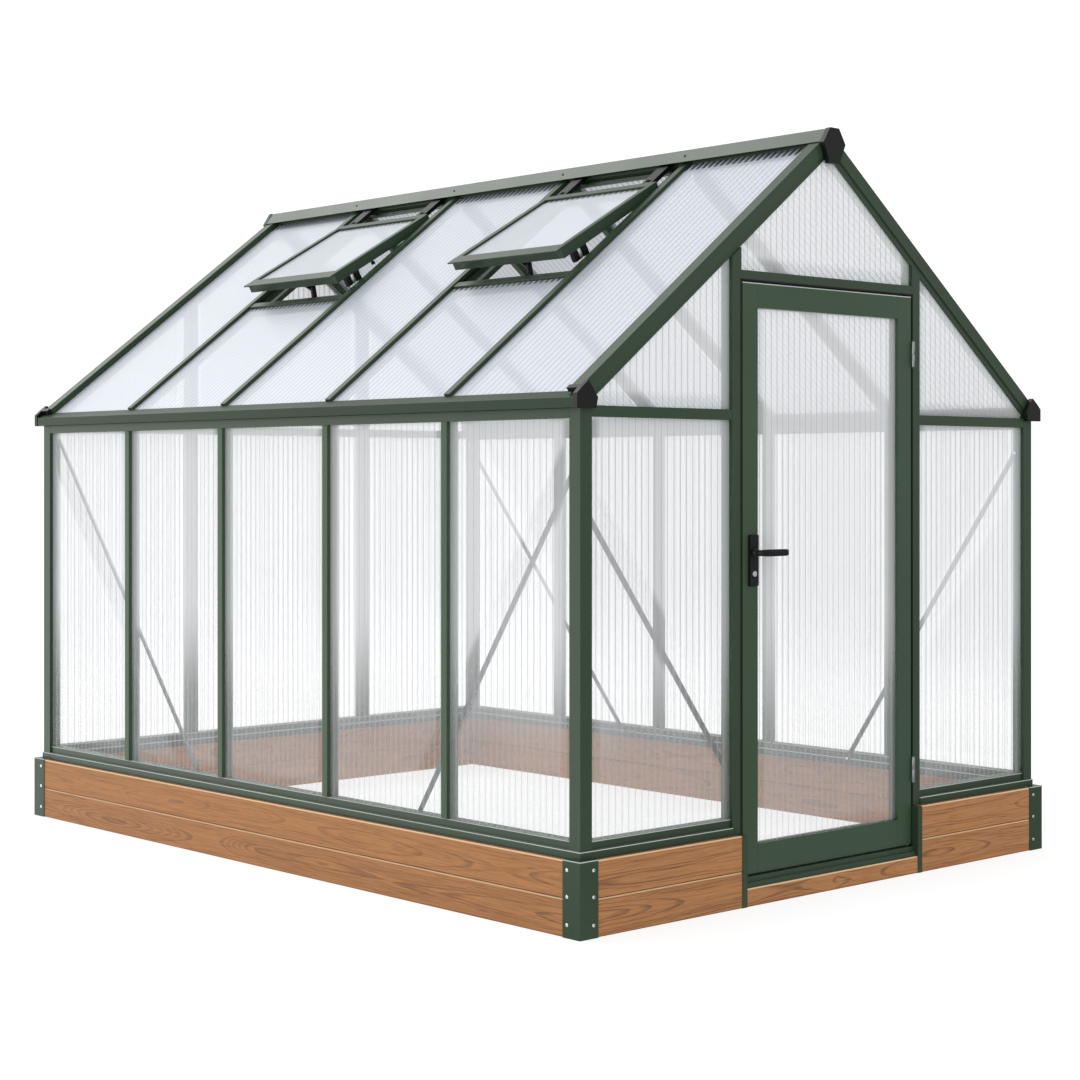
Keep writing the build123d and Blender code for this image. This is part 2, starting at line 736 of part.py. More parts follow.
with BuildPart() as door_header:
    gable_rail(span(0, 2 * doorway_half), header_top, header_height, ("top",))

with BuildPart() as door_stops:
    stop_y = (door_back + stop_clearance, -inner_half_length)
    for side in (-1, 1):
        block(sided(side, doorway_half - stop_width, doorway_half), stop_y, (base_top, header_bottom))
    between_stops = span(0, 2 * (doorway_half - stop_width - joint_gap))
    block(between_stops, stop_y, (header_bottom - stop_width, header_bottom))

with BuildPart() as front_gable_rails:
    for side in (-1, 1):
        rail_run = sided(side, door_post_outer, inner_half_width)
        gable_rail(rail_run, gable_rail_top, gable_rail_height, ("top", "bottom"))

with BuildPart() as back_gable_posts:
    gable_post(sill_top)
    block((-doorway_half - groove_depth, -doorway_half), gable_slot, (sill_top, far), Mode.SUBTRACT)
    mirror(about=Plane.YZ)
    mirror(about=Plane.XZ, mode=Mode.REPLACE)

with BuildPart() as back_gable_rails:
    for rail_run in (span(0, 2 * doorway_half), *front_runs):
        gable_rail(rail_run, gable_rail_top, gable_rail_height, ("top", "bottom"))
    mirror(about=Plane.XZ, mode=Mode.REPLACE)

# Roof vent openings: a crossbar that carries the roof sheet below, and trimmers under the sash's sides
sash_bottom_s = sash_top_gap + sash_length
sash_under_n = hinge_line_n + sash_rise - sash_depth
seat_n = sash_under_n - seat_clearance
curb_u = hinge_line_u + sash_bottom_s + curb_clearance
seat_u = curb_u - crossbar_seat
crossbar_end_u = curb_u + crossbar_curb

with BuildPart() as vent_crossbars:
    for bay in vent_bays:
        slope_block(-1, bay_clear(bay), (seat_u, curb_u), (-frame_depth, seat_n))
        slope_block(-1, bay_clear(bay), (curb_u, crossbar_end_u), (-frame_depth, crossbar_top))
        groove_u = (crossbar_end_u - groove_depth, crossbar_end_u)
        slope_block(-1, bay_clear(bay), groove_u, (-slot_inner, -outer_flange), Mode.SUBTRACT)
        seat_bore_n = (-frame_depth + section_wall, seat_n - section_wall)
        slope_block(-1, bay_clear(bay), widened((seat_u, curb_u), -section_wall), seat_bore_n, Mode.SUBTRACT)
        curb_bore_u = (curb_u + section_wall, crossbar_end_u - groove_depth - section_wall)
        curb_bore_n = (-frame_depth + section_wall, crossbar_top - section_wall)
        slope_block(-1, bay_clear(bay), curb_bore_u, curb_bore_n, Mode.SUBTRACT)

with BuildPart() as vent_trimmers:
    for bay in vent_bays:
        near, away = bay_clear(bay)
        near_run = (near + trimmer_inset, near + trimmer_inset + trimmer_width)
        away_run = (away - trimmer_inset - trimmer_width, away - trimmer_inset)
        for run in (near_run, away_run):
            trimmer_u = (ridge_start_u, seat_u)
            slope_block(-1, run, trimmer_u, (-frame_depth, seat_n))
            bore_n = (-frame_depth + section_wall, seat_n - section_wall)
            slope_block(-1, widened(run, -section_wall), trimmer_u, bore_n, Mode.SUBTRACT)
    under_ridge()

# Flat braces on the inner faces of the walls and the front gable, with a bolt at each end
brace_foot_z = base_top + sill_height / 2
post_land = (slot_inner + frame_depth) / 2  # middle of a post's inner face beside the sheet
wall_brace_ends = [
    (
        (-half_length + post_land, wall_top - front_brace_drop),
        (-half_length + front_brace_reach, brace_foot_z),
    ),
    (
        (half_length - post_land, wall_top - rear_brace_drop),
        (half_length - rear_brace_reach, brace_foot_z),
    ),
]
gable_brace_ends = (
    (-half_width + post_land, wall_top - gable_brace_drop),
    (-doorway_half - door_post_width / 2, sill_top + gable_brace_height),
)


def brace_planes():
    """The inner faces that carry braces, each facing into the house, with its braces' end points."""
    left = Plane(origin=(-inner_half_width, 0, 0), x_dir=(0, 1, 0), z_dir=(1, 0, 0))
    right = Plane(origin=(inner_half_width, 0, 0), x_dir=(0, -1, 0), z_dir=(-1, 0, 0))
    gable = Plane(origin=(0, -inner_half_length, 0), x_dir=(-1, 0, 0), z_dir=(0, 1, 0))
    mirrored_ends = [tuple((-y, z) for y, z in ends) for ends in wall_brace_ends]
    gable_ends = tuple((-x, z) for x, z in gable_brace_ends)
    return [(left, wall_brace_ends), (right, mirrored_ends), (gable, [gable_ends])]


def brace_holes(radius, height, mode):
    """Round pins or holes at the ends of every brace, from the member's face inwards."""
    for plane, braces in brace_planes():
        with BuildSketch(plane) as outline:
            for ends in braces:
                with Locations(*ends):
                    Circle(radius)
        extrude(outline.sketch, amount=height, mode=mode)


with BuildPart() as wall_braces:
    for plane, braces in brace_planes():
        with BuildSketch(plane) as outline:
            for start, end in braces:
                reach = (end[0] - start[0], end[1] - start[1])
                middle = ((start[0] + end[0]) / 2, (start[1] + end[1]) / 2)
                with Locations(middle):
                    turn = degrees(atan2(reach[1], reach[0]))
                    SlotCenterToCenter(hypot(*reach), brace_width, rotation=turn)
        extrude(outline.sketch, amount=brace_thickness)
    brace_holes(bolt_shank / 2 + bolt_clearance, brace_thickness, Mode.SUBTRACT)

with BuildPart() as brace_bolts:
    brace_holes(bolt_shank / 2, brace_thickness, Mode.ADD)
    for plane, braces in brace_planes():
        with BuildSketch(plane.offset(brace_thickness)) as outline:
            for ends in braces:
                with Locations(*ends):
                    Circle(brace_bolt_head / 2)
        extrude(outline.sketch, amount=brace_bolt_head_height)

# Twin-wall sheets
wall_panel_z = (sill_top - panel_engagement, head_rail_bottom + panel_engagement)
bays = range(1, bay_count + 1)

with BuildPart() as wall_panels:
    for side in (-1, 1):
        for bay in bays:
            y_span = widened(bay_clear(bay), panel_engagement)
            middle = (side * (half_width - panel_depth), sum(y_span) / 2, sum(wall_panel_z) / 2)
            plane = Plane(origin=middle, x_dir=(0, 1, 0), z_dir=(side, 0, 0))
            fluted_sheet(plane, y_span[1] - y_span[0], wall_panel_z[1] - wall_panel_z[0])


def roof_sheet(side, bay, top_u):
    """One roof sheet, from the ridge or a crossbar down into the gutter's groove."""
    y_span = widened(bay_clear(bay), panel_engagement)
    u_span = (top_u, slope_end + panel_engagement)
    face = slope_plane(side, -panel_depth)
    across = -side * sum(y_span) / 2
    middle = face.origin + face.x_dir * across + face.y_dir * (sum(u_span) / 2)
    plane = Plane(origin=middle, x_dir=face.x_dir, z_dir=face.z_dir)
    fluted_sheet(plane, y_span[1] - y_span[0], u_span[1] - u_span[0])


with BuildPart() as roof_panels_left:
    for bay in bays:
        below_vent = crossbar_end_u - panel_engagement
        roof_sheet(-1, bay, below_vent if bay in vent_bays else roof_panel_top_u)

with BuildPart() as roof_panels_right:
    for bay in bays:
        roof_sheet(1, bay, roof_panel_top_u)

gable_sheet_n = rafter_foot_n + panel_engagement
gable_lower_z = (sill_top - panel_engagement, gable_rail_bottom + panel_engagement)
gable_upper_z = (gable_rail_top - panel_engagement, ridge_bottom - panel_edge_gap)
gable_side_runs = [
    sided(side, door_post_outer - panel_engagement, inner_half_width + panel_engagement) for side in (-1, 1)
]
gable_tip_runs = [
    sided(side, door_post_outer - panel_engagement, inner_half_width - panel_edge_gap) for side in (-1, 1)
]
gable_middle_run = span(0, 2 * (doorway_half + panel_engagement))


def gable_sheet(x_run, z_run, end):
    """One upright sheet in a gable."""
    middle = (sum(x_run) / 2, end * (half_length - panel_depth), sum(z_run) / 2)
    plane = Plane(origin=middle, x_dir=(1, 0, 0), z_dir=(0, -1, 0))
    fluted_sheet(plane, abs(x_run[1] - x_run[0]), z_run[1] - z_run[0])


with BuildPart() as front_gable_panels:
    gable_sheet(gable_middle_run, (header_top - panel_engagement, gable_upper_z[1]), -1)
    for lower_run, upper_run in zip(gable_side_runs, gable_tip_runs):
        gable_sheet(lower_run, gable_lower_z, -1)
        gable_sheet(upper_run, gable_upper_z, -1)
    above_roof(all_along, gable_sheet_n)

with BuildPart() as back_gable_panels:
    gable_sheet(gable_middle_run, gable_lower_z, 1)
    gable_sheet(gable_middle_run, gable_upper_z, 1)
    for lower_run, upper_run in zip(gable_side_runs, gable_tip_runs):
        gable_sheet(lower_run, gable_lower_z, 1)
        gable_sheet(upper_run, gable_upper_z, 1)
    above_roof(all_along, gable_sheet_n)

# Door leaf: hollow stiles over the full height, rails between them and one sheet
leaf_y = (door_front, door_back)
leaf_z = (door_bottom, door_top)
leaf_slot = (door_front + door_lip, door_front + door_lip + slot)
stile_inner = door_width / 2 - door_stile
pane_bottom = door_bottom + door_bottom_rail
pane_top = door_top - door_top_rail
latch_y = span(lock_y, latch_width + 2 * bolt_slide_gap)
latch_z = span(lever_z, latch_height + 2 * bolt_slide_gap)
deadbolt_z = span(cylinder_z, deadbolt_height + 2 * bolt_slide_gap)
through_leaf = widened(leaf_y, backplate_thickness)

with BuildPart() as door_stiles:
    for side in (-1, 1):
        block(sided(side, stile_inner, door_width / 2), leaf_y, leaf_z)
        groove_z = (pane_bottom - groove_depth, pane_top + groove_depth)
        block(sided(side, stile_inner, stile_inner + groove_depth), leaf_slot, groove_z, Mode.SUBTRACT)
        bore_x = sided(side, stile_inner + groove_depth + section_wall, door_width / 2 - section_wall)
        block(bore_x, widened(leaf_y, -section_wall), leaf_z, Mode.SUBTRACT)
    edge_x = (-door_width / 2, -door_width / 2 + section_wall)
    block(edge_x, latch_y, latch_z, Mode.SUBTRACT)
    block(edge_x, latch_y, deadbolt_z, Mode.SUBTRACT)
    pin_along_y((handle_x, lever_z), lever_spindle_radius + bolt_slide_gap, leaf_y, Mode.SUBTRACT)
    pin_along_y((handle_x, cylinder_z), cylinder_radius + bolt_clearance, leaf_y, Mode.SUBTRACT)

with BuildPart() as door_rails:
    rail_x = span(0, 2 * stile_inner)
    rail_bore_y = (leaf_slot[1] + section_wall, door_back - section_wall)
    for bottom, top in ((door_bottom, pane_bottom), (pane_top, door_top)):
        block(rail_x, leaf_y, (bottom, top))
        block(rail_x, rail_bore_y, (bottom + section_wall, top - section_wall), Mode.SUBTRACT)
    block(rail_x, leaf_slot, (pane_bottom - groove_depth, pane_top + groove_depth), Mode.SUBTRACT)

with BuildPart() as door_panel:
    pane_middle = (0, sum(leaf_slot) / 2, (pane_bottom + pane_top) / 2)
    pane_plane = Plane(origin=pane_middle, x_dir=(1, 0, 0), z_dir=(0, -1, 0))
    pane_height = pane_top - pane_bottom + 2 * panel_engagement
    fluted_sheet(pane_plane, 2 * (stile_inner + panel_engagement), pane_height)

# Door hinges: the frame's half holds the pin, the door's half turns on it
hinge_x = door_width / 2 + door_gap / 2
hinge_y = door_front - hinge_axis_out
hinge_middles = (door_bottom + hinge_from_bottom, door_top - hinge_from_top)


def hinge_half(middle, knuckle_z, leaf_x):
    """One half of a butt hinge: its leaf in the gap, its knuckle in front and the tab that joins them."""
    block(leaf_x, (door_front, door_front + hinge_leaf_width), span(middle, hinge_height))
    block(leaf_x, (hinge_y, door_front), knuckle_z)
    pin_along_z((hinge_x, hinge_y), hinge_knuckle_radius, knuckle_z)


with BuildPart() as hinge_frame_leaves:
    for middle in hinge_middles:
        lower_z = (middle - hinge_height / 2, middle - hinge_clearance / 2)
        hinge_half(middle, lower_z, (doorway_half - hinge_leaf_thickness, doorway_half))
        pin_along_z((hinge_x, hinge_y), hinge_pin_radius, span(middle, hinge_height))

with BuildPart() as hinge_door_leaves:
    for middle in hinge_middles:
        upper_z = (middle + hinge_clearance / 2, middle + hinge_height / 2)
        hinge_half(middle, upper_z, (door_width / 2, door_width / 2 + hinge_leaf_thickness))
        bore_radius = hinge_pin_radius + hinge_pin_clearance
        pin_along_z((hinge_x, hinge_y), bore_radius, upper_z, Mode.SUBTRACT)

# Handle and lock
with BuildPart() as handle_backplates:
    for face, out in ((door_front, -1), (door_back, 1)):
        plate_top = lever_z + backplate_above_lever
        plate_z = (plate_top - backplate_height, plate_top)
        block(span(handle_x, backplate_width), (face, face + out * backplate_thickness), plate_z)
    fillet(handle_backplates.edges().filter_by(Axis.Y), backplate_corner)
    pin_along_y((handle_x, lever_z), lever_spindle_radius + lever_clearance, through_leaf, Mode.SUBTRACT)
    pin_along_y((handle_x, cylinder_z), cylinder_radius + bolt_clearance, through_leaf, Mode.SUBTRACT)

with BuildPart() as door_lever:
    for face, out in ((through_leaf[0], -1), (through_leaf[1], 1)):
        grip_y = face + out * lever_standoff
        grip_x = (handle_x - lever_hub_radius, handle_x + lever_reach)
        block(grip_x, span(grip_y, lever_thickness), span(lever_z, lever_height_size))
    fillet(door_lever.edges().filter_by(Axis.Y), lever_corner)
    for face, out in ((through_leaf[0], -1), (through_leaf[1], 1)):
        neck_y = (face + out * bolt_slide_gap, face + out * lever_standoff)
        pin_along_y((handle_x, lever_z), lever_neck_radius, neck_y)
    spindle_y = widened(through_leaf, lever_standoff)
    pin_along_y((handle_x, lever_z), lever_spindle_radius, spindle_y)

with BuildPart() as lock_case:
    case_x = (-door_width / 2 + section_wall, -door_width / 2 + section_wall + lock_case_depth)
    case_z = (lever_z - lock_case_below_lever, lever_z - lock_case_below_lever + lock_case_height)
    block(case_x, span(lock_y, lock_case_thickness), case_z)
    latch_room = latch_length - section_wall + bolt_slide_gap
    deadbolt_room = deadbolt_length - section_wall + bolt_slide_gap
    block((case_x[0], case_x[0] + latch_room), latch_y, latch_z, Mode.SUBTRACT)
    block((case_x[0], case_x[0] + deadbolt_room), latch_y, deadbolt_z, Mode.SUBTRACT)
    pin_along_y((handle_x, lever_z), lever_spindle_radius + bolt_slide_gap, leaf_y, Mode.SUBTRACT)
    pin_along_y((handle_x, cylinder_z), cylinder_radius + bolt_clearance, leaf_y, Mode.SUBTRACT)

with BuildPart() as latch_bolt:
    latch_tip = -door_width / 2 - latch_reach
    block((latch_tip, latch_tip + latch_length), span(lock_y, latch_width), span(lever_z, latch_height))
    chamfer(latch_bolt.edges().filter_by(Axis.Z).group_by(Axis.X)[0].sort_by(Axis.Y)[-1], latch_bevel)

with BuildPart() as deadbolt:
    bolt_x = (-door_width / 2, -door_width / 2 + deadbolt_length)
    block(bolt_x, span(lock_y, latch_width), span(cylinder_z, deadbolt_height))

cylinder_y = widened(through_leaf, cylinder_proud)
plug_y = widened(cylinder_y, plug_proud)

with BuildPart() as key_cylinder:
    pin_along_y((handle_x, cylinder_z), cylinder_radius, cylinder_y)
    pin_along_y((handle_x, cylinder_z), plug_radius + plug_clearance, cylinder_y, Mode.SUBTRACT)

with BuildPart() as key_plug:
    pin_along_y((handle_x, cylinder_z), plug_radius, plug_y)
    slot_y = (plug_y[0], plug_y[0] + key_slot_depth)
    block(span(handle_x, key_slot_width), slot_y, span(cylinder_z, key_slot_height), Mode.SUBTRACT)

# Roof vents, drawn open on their own plane: s runs down the sash from the hinge line and t stands out of it
sash_half = (bay_pitch - bar_width) / 2 - sash_side_gap
sash_t = (sash_rise - sash_depth, sash_rise)
hinge_point = slope_point(hinge_line_u, hinge_line_n)
open_pitch = radians(roof_pitch - vent_open_angle)


def bay_middle(bay):
    """Y of the middle of a bay."""
    return -half_length + bay_pitch * (bay - 0.5)


def vent_plane(bay, t=0.0):
    """The open sash's plane, t above the hinge line: local X is Y and local Y is s."""
    normal = Vector(-sin(open_pitch), 0, cos(open_pitch))
    hinge_line = Vector(hinge_point[0], bay_middle(bay), hinge_point[1])
    return Plane(origin=hinge_line + normal * t, x_dir=(0, 1, 0), z_dir=normal)


def vent_block(bay, y_span, s_span, t_span, mode=Mode.ADD):
    """A box square to an open sash."""
    with BuildSketch(vent_plane(bay, min(t_span))) as outline:
        with Locations((sum(y_span) / 2, sum(s_span) / 2)):
            Rectangle(abs(y_span[1] - y_span[0]), abs(s_span[1] - s_span[0]))
    extrude(outline.sketch, amount=abs(t_span[1] - t_span[0]), mode=mode)


def vent_point(s, t):
    """X and Z of a point on an open sash."""
    x = hinge_point[0] - s * cos(open_pitch) - t * sin(open_pitch)
    z = hinge_point[1] - s * sin(open_pitch) + t * cos(open_pitch)
    return (x, z)


sash_inner = sash_half - sash_stile
top_rail_s = (sash_top_gap, sash_top_gap + sash_rail)
bottom_rail_s = (sash_bottom_s - sash_rail, sash_bottom_s)
pane_slot_t = (sash_rise - sash_lip - slot, sash_rise - sash_lip)
sash_bore_t = (sash_t[0] + section_wall, pane_slot_t[0] - section_wall)
strap_offset = sash_half - vent_hinge_inset
lug_s = bottom_rail_s[0] - stay_lug_inset
foot_pivot = slope_point(seat_u - stay_foot_inset, stay_foot_level)
lug_pivot = vent_point(lug_s, stay_lug_level)
arm_inner = stay_arm_gap / 2
arm_outer = arm_inner + stay_arm_thickness
ear_inner = arm_outer + stay_ear_gap
ear_outer = ear_inner + stay_ear
stay_gap = hypot(lug_pivot[0] - foot_pivot[0], lug_pivot[1] - foot_pivot[1])
elbow_offset = (stay_arm_length**2 - (stay_gap / 2) ** 2) ** 0.5
elbow = (
    (foot_pivot[0] + lug_pivot[0]) / 2 + elbow_offset * (lug_pivot[1] - foot_pivot[1]) / stay_gap,
    (foot_pivot[1] + lug_pivot[1]) / 2 - elbow_offset * (lug_pivot[0] - foot_pivot[0]) / stay_gap,
)


def stay_arm(bay, side, pivot):
    """One arm of a folding stay, with a bore at its pivot and a rivet head at the elbow."""
    middle_y = bay_middle(bay)
    arm_y = (middle_y + side * arm_inner, middle_y + side * arm_outer)
    reach = (elbow[0] - pivot[0], elbow[1] - pivot[1])
    with BuildPart() as arm:
        with BuildSketch(upright_plane(max(arm_y))) as outline:
            with Locations(((elbow[0] + pivot[0]) / 2, (elbow[1] + pivot[1]) / 2)):
                turn = degrees(atan2(reach[1], reach[0]))
                SlotCenterToCenter(stay_arm_length, 2 * stay_arm_radius, rotation=turn)
        extrude(outline.sketch, amount=stay_arm_thickness)
        pin_along_y(pivot, stay_pin_radius + stay_pin_clearance, arm_y, Mode.SUBTRACT)
        rivet_y = (middle_y + side * arm_outer, middle_y + side * (arm_outer + elbow_rivet_height))
        pin_along_y(elbow, elbow_rivet_radius, rivet_y)
    return arm


def vent_sash(bay):
    """A vent's frame: two stiles and two rails with a sheet groove, and a drip edge on the lower rail."""
    with BuildPart() as sash:
        for side in (-1, 1):
            stile_s = (top_rail_s[0], bottom_rail_s[1])
            vent_block(bay, sided(side, sash_inner, sash_half), stile_s, sash_t)
            groove_s = (top_rail_s[1] - groove_depth, bottom_rail_s[0] + groove_depth)
            groove_y = sided(side, sash_inner, sash_inner + groove_depth)
            vent_block(bay, groove_y, groove_s, pane_slot_t, Mode.SUBTRACT)
            bore_y = sided(side, sash_inner + section_wall, sash_half - section_wall)
            vent_block(bay, bore_y, (stile_s[0], bottom_rail_s[0]), sash_bore_t, Mode.SUBTRACT)
        rail_y = span(0, 2 * (sash_inner - joint_gap))
        for rail_s in (top_rail_s, bottom_rail_s):
            vent_block(bay, rail_y, rail_s, sash_t)
            vent_block(bay, rail_y, widened(rail_s, -section_wall), sash_bore_t, Mode.SUBTRACT)
        drip_s = (bottom_rail_s[1], bottom_rail_s[1] + sash_drip_length)
        drip_t = (sash_rise - sash_drip_thickness, sash_rise)
        vent_block(bay, rail_y, drip_s, drip_t)
        drip_wing_s = (bottom_rail_s[1] + joint_gap, drip_s[1])
        vent_block(bay, span(0, 2 * sash_half), drip_wing_s, drip_t)
        vent_block(bay, rail_y, groove_s, pane_slot_t, Mode.SUBTRACT)
    return sash


def vent_pane(bay):
    """A vent's twin-wall sheet."""
    with BuildPart() as pane:
        face = vent_plane(bay, sum(pane_slot_t) / 2)
        middle = face.origin + face.y_dir * ((top_rail_s[1] + bottom_rail_s[0]) / 2)
        length = bottom_rail_s[0] - top_rail_s[1] + 2 * panel_engagement
        plane = Plane(origin=middle, x_dir=face.x_dir, z_dir=face.z_dir)
        fluted_sheet(plane, 2 * (sash_inner + panel_engagement), length)
    return pane


catch_y = (-sash_half + catch_inset, -sash_half + catch_inset + catch_width)
catch_t = (sash_t[0] - catch_height, sash_t[0])
catch_end_s = sash_bottom_s - catch_from_bottom
catch_stud_s = catch_end_s - catch_block - catch_gap / 2


def vent_hardware(bay):
    """What a sash carries: two hinge straps, the stay's lug and the catch's two blocks."""
    middle_y = bay_middle(bay)
    with BuildPart() as hardware:
        for side in (-1, 1):
            strap_y = span(side * strap_offset, strap_width)
            vent_block(bay, strap_y, (0, sash_top_gap), span(0, strap_thickness))
            knuckle_y = (middle_y + strap_y[0], middle_y + strap_y[1])
            pin_along_y(hinge_point, vent_knuckle_radius, knuckle_y)
            bore = vent_pin_radius + vent_pin_clearance
            pin_along_y(hinge_point, bore, knuckle_y, Mode.SUBTRACT)
        ear_y = (ear_inner, ear_outer)
        vent_block(bay, ear_y, (lug_s, bottom_rail_s[0]), span(stay_lug_level, 2 * stay_ear_radius))
        pin_along_y(lug_pivot, stay_ear_radius, (middle_y + ear_inner, middle_y + ear_outer))
        pin_along_y(lug_pivot, stay_pin_radius, (middle_y + arm_inner, middle_y + ear_outer))
        for block_end in (catch_end_s, catch_end_s - catch_block - catch_gap):
            vent_block(bay, catch_y, (block_end - catch_block, block_end), catch_t)
    return hardware


def vent_catch_stud(bay):
    """The round stud between a catch's blocks."""
    with BuildPart() as stud:
        with BuildSketch(vent_plane(bay, catch_t[0])) as outline:
            with Locations((sum(catch_y) / 2, catch_stud_s)):
                Circle(catch_stud_radius)
        extrude(outline.sketch, amount=catch_height)
    return stud


with BuildPart() as vent_hinge_brackets:
    arm_n = span(hinge_line_n, 2 * vent_knuckle_radius)
    web_end_u = hinge_line_u - 2 * vent_knuckle_radius
    for bay in vent_bays:
        for side in (-1, 1):
            strap_y = bay_middle(bay) + side * strap_offset
            ear_near = strap_width / 2 + vent_hinge_clearance
            ear_away = ear_near + hinge_ear_width
            slope_block(-1, span(strap_y, 2 * ear_away), (ridge_start_u, web_end_u), arm_n)
            for edge in (-1, 1):
                ear_y = (strap_y + edge * ear_near, strap_y + edge * ear_away)
                slope_block(-1, ear_y, (web_end_u, hinge_line_u), arm_n)
                pin_along_y(hinge_point, vent_knuckle_radius, ear_y)
            pin_along_y(hinge_point, vent_pin_radius, span(strap_y, 2 * ear_away))
    under_ridge()

with BuildPart() as stay_feet:
    for bay in vent_bays:
        ear_y = (bay_middle(bay) - ear_outer, bay_middle(bay) - ear_inner)
        foot_u = (seat_u - stay_foot_inset - stay_ear_radius, seat_u)
        slope_block(-1, ear_y, foot_u, (stay_foot_level, seat_n - seat_clearance))
        pin_along_y(foot_pivot, stay_ear_radius, ear_y)
        pin_along_y(foot_pivot, stay_pin_radius, (ear_y[0], bay_middle(bay) - arm_inner))

pieces = {
    "base_planks_side": base_planks_side,
    "base_planks_back": base_planks_back,
    "base_planks_front": base_planks_front,
    "threshold_plank": threshold_plank,
    "corner_brackets": corner_brackets,
    "base_bolts": base_bolts,
    "doorway_trims": doorway_trims,
    "sills": sills,
    "threshold_rail": threshold_rail,
    "corner_posts": corner_posts,
    "wall_bars": wall_bars,
    "head_rails": head_rails,
    "gutters": gutters,
    "gutter_end_caps": gutter_end_caps,
    "roof_bars": roof_bars,
    "gable_rafters": gable_rafters,
    "ridge_beam": ridge_beam,
    "ridge_end_caps": ridge_end_caps,
    "door_posts": door_posts,
    "strike_plate": strike_plate,
    "door_header": door_header,
    "door_stops": door_stops,
    "front_gable_rails": front_gable_rails,
    "back_gable_posts": back_gable_posts,
    "back_gable_rails": back_gable_rails,
    "vent_crossbars": vent_crossbars,
    "vent_trimmers": vent_trimmers,
    "wall_braces": wall_braces,
    "brace_bolts": brace_bolts,
    "wall_panels": wall_panels,
    "roof_panels_left": roof_panels_left,
    "roof_panels_right": roof_panels_right,
    "front_gable_panels": front_gable_panels,
    "back_gable_panels": back_gable_panels,
    "door_stiles": door_stiles,
    "door_rails": door_rails,
    "door_panel": door_panel,
    "hinge_frame_leaves": hinge_frame_leaves,
    "hinge_door_leaves": hinge_door_leaves,
    "handle_backplates": handle_backplates,
    "door_lever": door_lever,
    "lock_case": lock_case,
    "latch_bolt": latch_bolt,
    "deadbolt": deadbolt,
    "key_cylinder": key_cylinder,
    "key_plug": key_plug,
    "vent_hinge_brackets": vent_hinge_brackets,
    "stay_feet": stay_feet,
}
for vent, bay in zip(("vent_front", "vent_rear"), vent_bays):
    pieces[vent + "_sash"] = vent_sash(bay)
    pieces[vent + "_pane"] = vent_pane(bay)
    pieces[vent + "_hardware"] = vent_hardware(bay)
    pieces[vent + "_catch_stud"] = vent_catch_stud(bay)
    pieces[vent + "_lower_arm"] = stay_arm(bay, -1, foot_pivot)
    pieces[vent + "_upper_arm"] = stay_arm(bay, 1, lug_pivot)

os.makedirs("parts", exist_ok=True)
for name, piece in pieces.items():
    piece.part.label = name
    export_step(piece.part, f"parts/{name}.step")
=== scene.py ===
from math import cos, pi, radians, sin, tan

import bpy
from bpy.props import FloatProperty, FloatVectorProperty, IntProperty, PointerProperty
from mathutils import Matrix, Vector


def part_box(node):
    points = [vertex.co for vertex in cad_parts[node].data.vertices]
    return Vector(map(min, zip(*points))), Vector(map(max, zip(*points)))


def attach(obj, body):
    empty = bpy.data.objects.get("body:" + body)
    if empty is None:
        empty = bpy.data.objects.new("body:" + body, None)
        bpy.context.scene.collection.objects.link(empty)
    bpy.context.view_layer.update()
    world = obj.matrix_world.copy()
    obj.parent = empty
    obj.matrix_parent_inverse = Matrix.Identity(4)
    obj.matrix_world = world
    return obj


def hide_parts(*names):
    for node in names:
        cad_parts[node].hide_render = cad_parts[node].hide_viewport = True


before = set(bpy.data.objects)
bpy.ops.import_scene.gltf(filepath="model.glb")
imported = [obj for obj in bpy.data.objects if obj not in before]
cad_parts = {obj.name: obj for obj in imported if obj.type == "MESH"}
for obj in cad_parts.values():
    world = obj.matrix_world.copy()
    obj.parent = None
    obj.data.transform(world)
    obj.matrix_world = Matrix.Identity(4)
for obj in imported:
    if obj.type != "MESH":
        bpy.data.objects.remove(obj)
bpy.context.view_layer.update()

bl_info = {
    "name": "Apex greenhouse",
    "version": (1, 0, 0),
    "blender": (4, 5, 0),
    "location": "3D View > Sidebar > Greenhouse",
    "description": "Dresses the greenhouse frame with its finishes, sheets and small fittings",
    "category": "Object",
}

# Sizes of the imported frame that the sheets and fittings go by, in metres
HALF_WIDTH = 1.180
HALF_LENGTH = 1.625
BAY_PITCH = 0.650
BAY_COUNT = 5
BAR_WIDTH = 0.030
FRAME_DEPTH = 0.050
SIDES = ((-1, "left"), (1, "right"))

# Roof
ROOF_PITCH = radians(37.5)
APEX = 2.578446
ROOF_RUN = (0.029935, 1.48336)  # a roof sheet's ends, down the slope from the apex
BELOW_VENT = 0.758  # upper end of a roof sheet below a vent, down the slope
RIDGE_COVER = 0.036  # how far the ridge and the crossbars reach over the roof sheets
CROSSBAR_COVER = 0.012
RIDGE_SLOPE = ((0.022, 2.6004), (0.056, 2.5519))  # the ridge's sloping face, X and Z

# Vents, as they stand at rest
VENT_BAYS = {2: "vent_front", 4: "vent_rear"}
VENT_HINGE = (-0.13207, 2.47459)  # X and Z
VENT_PITCH = radians(30)
VENT_PANE_RUN = (0.042, 0.542)  # down from the hinge
VENT_PANE_HALF = 0.277
VENT_PANE_LEVEL = -0.0013  # out from the hinge
KNOB_PLACE = (0.360, -0.028, -0.282)  # down the sash, out of it and along it

# Gables: distances across the house and heights
GABLE_TOP_DROP = 0.044  # roof's face to the top of the sheets
GABLE_SIDES = (0.485, 1.140)  # outer sheets below the eaves
GABLE_TIPS = (0.485, 1.129)  # outer sheets above the eaves
GABLE_MIDDLE = 0.461  # half of a middle sheet
GABLE_LOW = (0.2802, 1.605)
GABLE_HIGH = (1.620, 2.521446)
OVER_DOOR = 2.080  # foot of the sheet over the door

